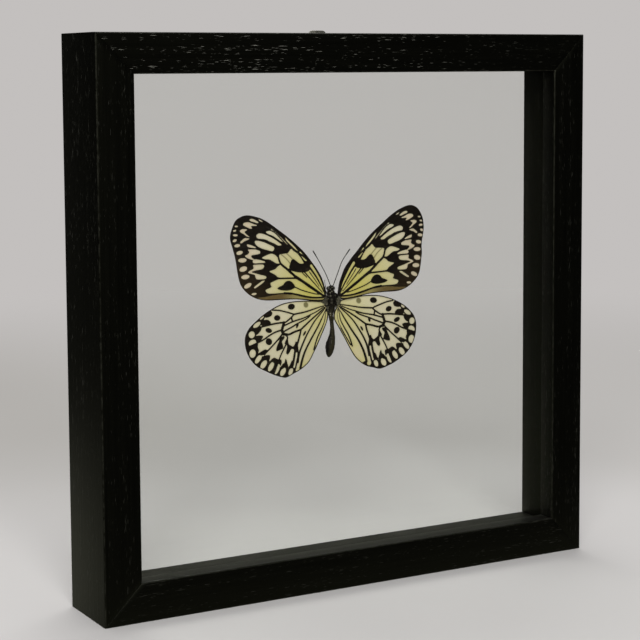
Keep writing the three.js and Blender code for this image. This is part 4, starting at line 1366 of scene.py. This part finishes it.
TONGUE_RADIUS, TONGUE_TURNS, COIL_START = 0.095, 2.5, 2.2
turn = np.linspace(0, 2 * TONGUE_TURNS * np.pi, 150)
coil = 0.85 - 0.62 * turn / turn[-1]
depth, height = 1.35 + coil * np.cos(turn + COIL_START), 13.7 + coil * np.sin(turn + COIL_START)
tongue = np.stack([np.full(len(turn), -0.3), depth, height], 1)
ringed = TONGUE_RADIUS * (0.9 + 0.1 * np.cos(turn * 14))
limbs.append(tube(tongue, ringed * (1 - 0.5 * turn / turn[-1]), 8))
points, faces = merged(limbs)
limb_piece = insect_piece("legs_palps_and_tongue", points, faces)
paint_body(limb_piece, points, olive=0.25)
print("limbs:", len(LEGS), "legs,", len(faces), "faces")

# %% [markdown]
# Fur hides every seam of the body. Each hair is a thin three-sided spike that bends as it runs. It
# is short and dark on the back, and long and beige where the wings are hinged.


# %% Fur
HAIR_POINTS = 7


def fur(roots, directions, lengths, thickness, seed):
    rng = np.random.default_rng(seed)
    count = len(roots)
    directions = directions + rng.normal(scale=0.22, size=(count, 3))
    directions /= np.linalg.norm(directions, axis=1)[:, None]
    across = np.cross(directions, rng.normal(size=(count, 3)))
    across /= np.linalg.norm(across, axis=1)[:, None]
    other = np.cross(directions, across)
    sag = rng.normal(scale=0.12, size=(count, 1)) * across + (0.0, 0.05, -0.12)
    points = []
    for share, width in ((0.0, 1.0), (0.55, 0.75)):
        spine = roots + directions * lengths[:, None] * share + sag * lengths[:, None] * share**2
        for k in range(3):
            angle = 2 * np.pi * k / 3
            points.append(spine + (across * math.cos(angle) + other * math.sin(angle)) * thickness * width)
    points.append(roots + directions * lengths[:, None] + sag * lengths[:, None])
    one = [(2, 1, 0), (0, 1, 4, 3), (1, 2, 5, 4), (2, 0, 3, 5), (3, 4, 6), (4, 5, 6), (5, 3, 6)]
    faces = [tuple(index + HAIR_POINTS * i for index in face) for i in range(count) for face in one]
    return np.stack(points, 1).reshape(-1, 3), faces


DARK_HAIRS, DARK_THICKNESS = 2600, 0.022
PALE_THICKNESS = 0.038
# Tufts at the right-hand hinges, as (x, depth, height, length, rise, number of hairs).
TUFTS = (
    (2.5, -1.0, 9.2, 2.4, 0.0, 190), (2.5, -0.8, 6.8, 2.4, 0.25, 170), (2.4, 0.2, 7.9, 3.6, 0.05, 260),
    (2.4, -0.4, 8.2, 3.4, -0.02, 200), (2.0, -0.6, 5.0, 1.9, -0.35, 110), (1.6, 0.0, 3.4, 1.5, -0.7, 110),
)
rng = np.random.default_rng(21)
chosen = rng.choice(len(thorax_points), DARK_HAIRS, replace=False)
dark_roots = thorax_points[chosen] - thorax_normals[chosen] * 0.05
combed = thorax_normals[chosen] * 0.6 + (0.0, 0.0, -0.55)
dark_points, dark_faces = fur(
    dark_roots, combed, rng.uniform(0.35, 0.8, DARK_HAIRS), DARK_THICKNESS, 1,
)
tufts = []
for side in (-1, 1):
    for x, depth, z, reach, up, number in TUFTS:
        roots = np.array((x * side, depth, z)) + rng.normal(scale=(0.25, 0.2, 0.35), size=(number, 3))
        outward = np.array((side, -0.08 if depth < 0 else 0.1, up))
        lengths = rng.uniform(0.6, 1.0, number) * reach
        tufts.append(fur(roots, np.tile(outward, (number, 1)), lengths, PALE_THICKNESS, number))
pale_points, pale_faces = merged(tufts)
for name, points, faces, palest in (
    ("dark_fur", dark_points, dark_faces, 0.0), ("beige_fur", pale_points, pale_faces, 0.9),
):
    piece = insect_piece(name, points, faces)
    paleness = rng.uniform(0.0, palest, len(points) // HAIR_POINTS) ** 1.5
    store(piece, "pale", np.repeat(paleness, HAIR_POINTS))
    store(piece, "olive", np.full(len(points), 0.3))
    print(name, len(faces), "faces")


# %% [markdown]
# ## The dab of glue
# A clear dab holds the thorax to the rear pane. Glue wets both surfaces, so it spreads at both ends
# and is slimmest between them. Turning such a profile about its own axis gives the meniscus.

# %% Glue
GLUE_HEIGHT = 5.4
# Radius of the dab, as (share of the way to the pane, radius).
GLUE_PROFILE = [
    (0.0, 1.05), (0.12, 0.97), (0.35, 0.88), (0.6, 0.9), (0.82, 1.04), (0.95, 1.22), (1.0, 1.4),
]
GLUE_START = 1.7
GLUE_SIDES = 48

clear_glue, tree, shader = new_finish(
    "clear set glue", Base_Color=colour(0.90, 0.87, 0.76), Roughness=0.12, IOR=1.46,
    Transmission_Weight=0.85,
)
relief(tree, shader, noise(tree, place_in_mm(tree), 1.4, 2.0), 0.05, 0.5)

profile = smooth_line(GLUE_PROFILE)
turn = np.linspace(0, 2 * np.pi, GLUE_SIDES, endpoint=False)
uneven = 1 + 0.04 * np.cos(2 * turn + 0.7) + 0.03 * np.cos(3 * turn)
glue_reach = BACK_PANE - BODY_DEPTH - GLUE_START
glue_rings = [
    np.stack([
        radius * uneven * np.cos(turn), np.full(GLUE_SIDES, GLUE_START + share * glue_reach),
        GLUE_HEIGHT + radius * uneven * np.sin(turn),
    ], 1)
    for share, radius in profile
]
mesh_piece(
    "glue_meniscus", on_body(np.concatenate(glue_rings)), ring_faces(len(profile), GLUE_SIDES),
    clear_glue, "clear_glue", replaces="glue_dot",
)
print(f"glue is {glue_reach:.1f} mm long")

# %% [markdown]
# ## Stamped metal
# The hanging plate and the glazing points are punched from sheet. A punch rounds the edges, the
# rolling mill has left fine lines, and the zinc goes dull in patches. The lines are noise that is
# stretched along one direction.

# %% Metal finishes
milled, here, out = effect(
    "milled sheet",
    [("Place", "Vector", None), ("Length", "Float", 9.0), ("Width", "Float", 0.16)],
    [("Lines", "Float"), ("Patches", "Float")],
)
axes = axes_of(milled, here["Place"])
long_lines = from_axes(milled, *(
    calc(milled, "DIVIDE", axes[axis], here[measure])
    for axis, measure in (("X", "Width"), ("Y", "Width"), ("Z", "Length"))
))
feed(milled, out["Lines"], noise(milled, long_lines, 1.0, 2.0))
feed(milled, out["Patches"], step(milled, noise(milled, here["Place"], 0.45, 4.0), 0.35, 0.7))


def metal_finish(name, dull, bright, roughness):
    material, tree, shader = new_finish(name, Metallic=1.0)
    sheet = use(tree, milled, Place=place_in_mm(tree))
    streaked = blend(tree, sheet["Lines"], dull, bright)
    patchy = blend(tree, product(tree, sheet["Patches"], 0.45), streaked, dull)
    feed(tree, shader.inputs["Base Color"], patchy)
    matt = calc(tree, "MULTIPLY_ADD", sheet["Patches"], 0.16, roughness)
    feed(tree, shader.inputs["Roughness"], calc(tree, "MULTIPLY_ADD", sheet["Lines"], 0.1, matt))
    relief(tree, shader, sheet["Lines"], 0.02, 0.5)
    return material


zinc = metal_finish("dull zinc plate", colour(0.30, 0.29, 0.24), colour(0.52, 0.51, 0.44), 0.36)
steel = metal_finish("bright steel sheet", colour(0.38, 0.38, 0.36), colour(0.62, 0.62, 0.60), 0.28)


def stamped(outlines, thickness, edge):
    """A sheet with holes, flat in x and z, its back at depth 0; the punch has rounded its edges."""
    curve = bpy.data.curves.new("punched", "CURVE")
    curve.dimensions = "2D"
    curve.fill_mode = "BOTH"
    curve.extrude = thickness / 2 - edge
    curve.bevel_depth = edge
    curve.bevel_resolution = 2
    curve.offset = -edge
    for outline in outlines:
        spline = curve.splines.new("POLY")
        spline.points.add(len(outline) - 1)
        for point, (x, z) in zip(spline.points, outline):
            point.co = (x, z, 0.0, 1.0)
        spline.use_cyclic_u = True
    sheet = put("punched", curve)
    mesh = bmesh.new()
    mesh.from_mesh(finished(sheet))
    bmesh.ops.remove_doubles(mesh, verts=mesh.verts[:], dist=0.01)
    bmesh.ops.recalc_face_normals(mesh, faces=mesh.faces[:])
    mesh.verts.index_update()
    points = np.array([(v.co.x, v.co.z - thickness / 2, v.co.y) for v in mesh.verts])
    faces = [tuple(vertex.index for vertex in reversed(face.verts)) for face in mesh.faces]
    mesh.free()
    bpy.data.objects.remove(sheet)
    return points, faces


def arc(x, z, radius, first, last, parts=16):
    angle = np.radians(np.linspace(first, last, parts))
    return np.stack([x + radius * np.cos(angle), z + radius * np.sin(angle)], 1)


# %% [markdown]
# The plate has a keyhole for a nail's head, and two screws hold it to the top rail. A pan head is
# turned, and then a punch sinks a cross into it with sloping walls.

# %% Hanging plate and screws
PLATE_WIDTH, PLATE_HEIGHT, PLATE_THICKNESS = 9.0, 17.0, 1.0
PLATE_RISE = 2.0
PLATE_X = 0.9
PLATE_CORNER = 2.0
PLATE_FRONT = depth_of(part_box("hanger_plate")[0].y)
HOLE_RADIUS, HOLE_HEIGHT, SLOT_RADIUS, SLOT_TOP = 2.2, 4.2, 1.1, 7.4
SCREW_SPACING, SCREW_DROP = 4.8, 3.1

half = PLATE_WIDTH / 2
plate_edge = rounded([
    (-half, 0.0, PLATE_CORNER), (half, 0.0, PLATE_CORNER), (half, PLATE_HEIGHT, PLATE_CORNER),
    (-half, PLATE_HEIGHT, PLATE_CORNER),
], 8)
meet = math.degrees(math.asin(SLOT_RADIUS / HOLE_RADIUS))
keyhole = np.vstack([
    arc(0.0, HOLE_HEIGHT, HOLE_RADIUS, 90 + meet, 450 - meet, 40),
    arc(0.0, SLOT_TOP - SLOT_RADIUS, SLOT_RADIUS, 0, 180, 14),
])
screw_height = PLATE_HEIGHT - PLATE_RISE - SCREW_DROP
screw_holes = [arc(side * SCREW_SPACING / 2, screw_height, 1.05, 0, 345, 24) for side in (-1, 1)]
points, faces = stamped([plate_edge, keyhole, *screw_holes], PLATE_THICKNESS, 0.14)
plate_place = (PLATE_X, PLATE_FRONT + PLATE_THICKNESS, OUTSIDE + PLATE_RISE - PLATE_HEIGHT)
mesh_piece(
    "hanging_plate", points + plate_place, faces, zinc, "hanger_metal", replaces="hanger_plate",
    sharp_degrees=35,
)

SCREW_SIDES = 96
HEAD_RADIUS, HEAD_HEIGHT, SHANK_RADIUS, SCREW_LENGTH = 1.55, 0.9, 0.8, 5.0
CROSS_REACH, CROSS_HALF_WIDTH, CROSS_DEPTH = 0.98, 0.2, 0.5
SCREW_TOP = depth_of(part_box("hanger_screw_left")[1].y)
head_curve = [(share, HEAD_HEIGHT * (1 - share**4) ** 0.5) for share in np.linspace(0, 1, 30)]
neck = SHANK_RADIUS / HEAD_RADIUS
shank = [(0.9, 0.0), (neck, 0.0), (neck, -3.2), (0.2, -4.5), (0.02, -SCREW_LENGTH)]


def cross_recess(x, z):
    """Depth of the punched cross at a place on the head."""
    reach = np.maximum(np.abs(x), np.abs(z))
    narrow = np.minimum(np.abs(x), np.abs(z))
    in_arm = 1 - fade(narrow, CROSS_HALF_WIDTH * 0.6, CROSS_HALF_WIDTH)
    return CROSS_DEPTH * in_arm * (1 - fade(reach, 0.55, CROSS_REACH))


for name, side, twist in (("left", -1, 0.35), ("right", 1, 1.1)):
    turn = np.linspace(0, 2 * np.pi, SCREW_SIDES, endpoint=False)
    rings = []
    for share, height in [(0.002, HEAD_HEIGHT), *head_curve[1:], *shank]:
        x, z = share * HEAD_RADIUS * np.cos(turn), share * HEAD_RADIUS * np.sin(turn)
        sunk = cross_recess(x, z) if height > 0 else 0.0
        across = x * math.cos(twist) - z * math.sin(twist)
        up = x * math.sin(twist) + z * math.cos(twist)
        rings.append(np.stack([across, SCREW_TOP - HEAD_HEIGHT + height - sunk + 0 * x, up], 1))
    points = np.concatenate(rings) + (PLATE_X + side * SCREW_SPACING / 2, 0.0, OUTSIDE - SCREW_DROP)
    mesh_piece(
        f"{name}_screw", points, ring_faces(len(rings), SCREW_SIDES), zinc, "hanger_metal",
        replaces=f"hanger_screw_{name}", sharp_degrees=50,
    )

# %% [markdown]
# Glazing points are little blades that a framer pushes into the wall of the rebate, flat on the
# glass. The sharp end disappears in the wood.

# %% Glazing points
POINT_WIDTH, POINT_LENGTH, POINT_THICKNESS, POINT_BITE = 9.0, 8.5, 0.6, 3.0
POINT_OFFSET = 62.0
POINT_FRONT = depth_of(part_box("glazing_point_bottom_1")[0].y)
half = POINT_WIDTH / 2
sharp_end = WALL - POINT_BITE
shoulder = sharp_end + 0.55 * POINT_BITE
blunt_end = sharp_end + POINT_LENGTH
blade = rounded([
    (-0.35 * half, sharp_end, 0.2), (0.35 * half, sharp_end, 0.2), (half, shoulder, 0.3),
    (half, blunt_end, 0.9), (-half, blunt_end, 0.9), (-half, shoulder, 0.3),
], 6)
pip = arc(0.0, blunt_end - 1.7, 0.55, 0, 345, 20)
points, faces = stamped([blade, pip], POINT_THICKNESS, 0.1)
for side, name in enumerate(SIDES):
    for number, end in ((1, -1), (2, 1)):
        placed_blade = turned(points + (end * POINT_OFFSET, POINT_FRONT + POINT_THICKNESS, 0.0), side)
        mesh_piece(
            f"{name}_point_{number}", placed_blade, faces, steel, "point_steel",
            replaces=f"glazing_point_{name}_{number}", sharp_degrees=35,
        )
print("hardware: a plate, 2 screws and", 2 * len(SIDES), "glazing points")


# %% [markdown]
# ## Table, background and light
# The object stands on a pale sweep of paper. The floor takes real shadows near the object and turns
# into plain paper tone further out, so there is no horizon. Behind the frame and to its right the
# paper also carries a painted shadow: its colour is darker there, a little less so on the far right.
# One broad lamp hangs above and in front, another behind, and the room in front of the glass is dark
# for reflections, as in a studio.

# %% Stage
PAPER = colour(0.545, 0.525, 0.515)
PAPER_NEAR = colour(0.615, 0.60, 0.59)
# Painted shadow of the frame: the paper colour behind it, a little lighter on the far right.
PAPER_IN_PAINTED_SHADOW = colour(0.48, 0.465, 0.445)
PAPER_IN_PAINTED_SHADOW_RIGHT = colour(0.545, 0.53, 0.515)
PAPER_IN_MIRROR = colour(0.36, 0.36, 0.28)
ROOM_IN_MIRROR = colour(0.035, 0.035, 0.028)

paper, tree, shader = new_finish("paper sweep", Roughness=0.95, Specular_IOR_Level=0.1)
on_floor = place_on_piece(tree)
away = node(tree, "VectorMath", {0: on_floor}, operation="LENGTH").outputs["Value"]
floor_axes = axes_of(tree, on_floor)
behind = floor_axes["Y"]
past_right = calc(tree, "MAXIMUM", calc(tree, "SUBTRACT", floor_axes["X"], 0.17), 0.0)
# Painted shadow mask: 0 in front of the frame, 1 from 0.4 m behind it, reached sooner on the right.
shaded = step(tree, calc(tree, "MULTIPLY_ADD", past_right, 2.4, behind), 0.1, 0.4)
painted_shadow_paper = blend(tree, step(tree, floor_axes["X"], 0.0, 0.25), PAPER_IN_PAINTED_SHADOW, PAPER_IN_PAINTED_SHADOW_RIGHT)
feed(tree, shader.inputs["Base Color"], blend(tree, shaded, PAPER_NEAR, painted_shadow_paper))
glow = node(tree, "Emission", {"Color": PAPER}).outputs[0]
ground = node(tree, "MixShader", {0: step(tree, away, 0.5, 1.1), 1: shader.outputs[0], 2: glow}).outputs[0]
lit_paper = product(tree, step(tree, away, 0.6, 0.12), step(tree, behind, -0.15, 0.05))
mirror_colour = blend(tree, lit_paper, ROOM_IN_MIRROR, PAPER_IN_MIRROR)
mirrored_paper = node(tree, "Emission", {"Color": mirror_colour}).outputs[0]
in_mirror = calc(tree, "MINIMUM", node(tree, "LightPath").outputs["Glossy Depth"], 1.0)
mirrored_floor = node(tree, "MixShader", {0: in_mirror, 1: ground, 2: mirrored_paper})
tree.links.new(mirrored_floor.outputs[0], tree.nodes["Material Output"].inputs["Surface"])

floor_mesh = bmesh.new()
bmesh.ops.create_circle(floor_mesh, cap_ends=True, segments=96, radius=12.0)
floor_data = bpy.data.meshes.new("paper_floor")
floor_mesh.to_mesh(floor_data)
floor_mesh.free()
floor_data.materials.append(paper)
floor = put("paper_floor", floor_data)
floor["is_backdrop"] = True

world = bpy.data.worlds.new("studio")
scene.world = world
world.use_nodes = True
sky = world.node_tree
path = node(sky, "LightPath").outputs
toward = axes_of(sky, node(sky, "TexCoord").outputs["Generated"])
rear = step(sky, toward["Y"], -0.1, 0.4)
ambient = blend(sky, rear, colour(0.34, 0.34, 0.34), colour(0.46, 0.45, 0.44))
rising, falling = step(sky, toward["X"], -0.3, 0.6), step(sky, toward["X"], 0.85, 0.3)
bright_rear = product(sky, rear, rising, falling)
mirrored = blend(sky, bright_rear, colour(0.012, 0.012, 0.010), colour(0.34, 0.34, 0.28))
seen = blend(sky, path["Is Diffuse Ray"], PAPER, ambient)
seen = blend(sky, calc(sky, "MINIMUM", path["Glossy Depth"], 1.0), seen, mirrored)
feed(sky, sky.nodes["Background"].inputs["Color"], seen)


def soft_lamp(name, place, aim, width, height, watts):
    data = bpy.data.lights.new(name, "AREA")
    data.shape = "RECTANGLE"
    data.size = width
    data.size_y = height
    data.energy = watts
    lamp = put(name, data)
    lamp.location = place
    lamp.rotation_euler = (Vector(aim) - Vector(place)).to_track_quat("-Z", "Y").to_euler()
    print(name, "at", place, "m,", watts, "W")


soft_lamp("front lamp", (-0.6, -1.15, 0.95), (0.0, 0.0, 0.12), 0.8, 0.8, 20.0)
soft_lamp("rear lamp", (0.35, 0.8, 1.5), (0.0, 0.0, 0.0), 1.2, 0.8, 10.0)

scene.view_settings.view_transform = "Standard"
scene.view_settings.look = "None"
scene.cycles.caustics_reflective = False
scene.cycles.caustics_refractive = False

# %% Sizes and the last check
bpy.context.view_layer.update()
new_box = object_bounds()
grown = [max(cad_box[0][i] - new_box[0][i], new_box[1][i] - cad_box[1][i]) / MM for i in range(3)]
print("grown by", [round(value, 2) for value in grown], "mm")
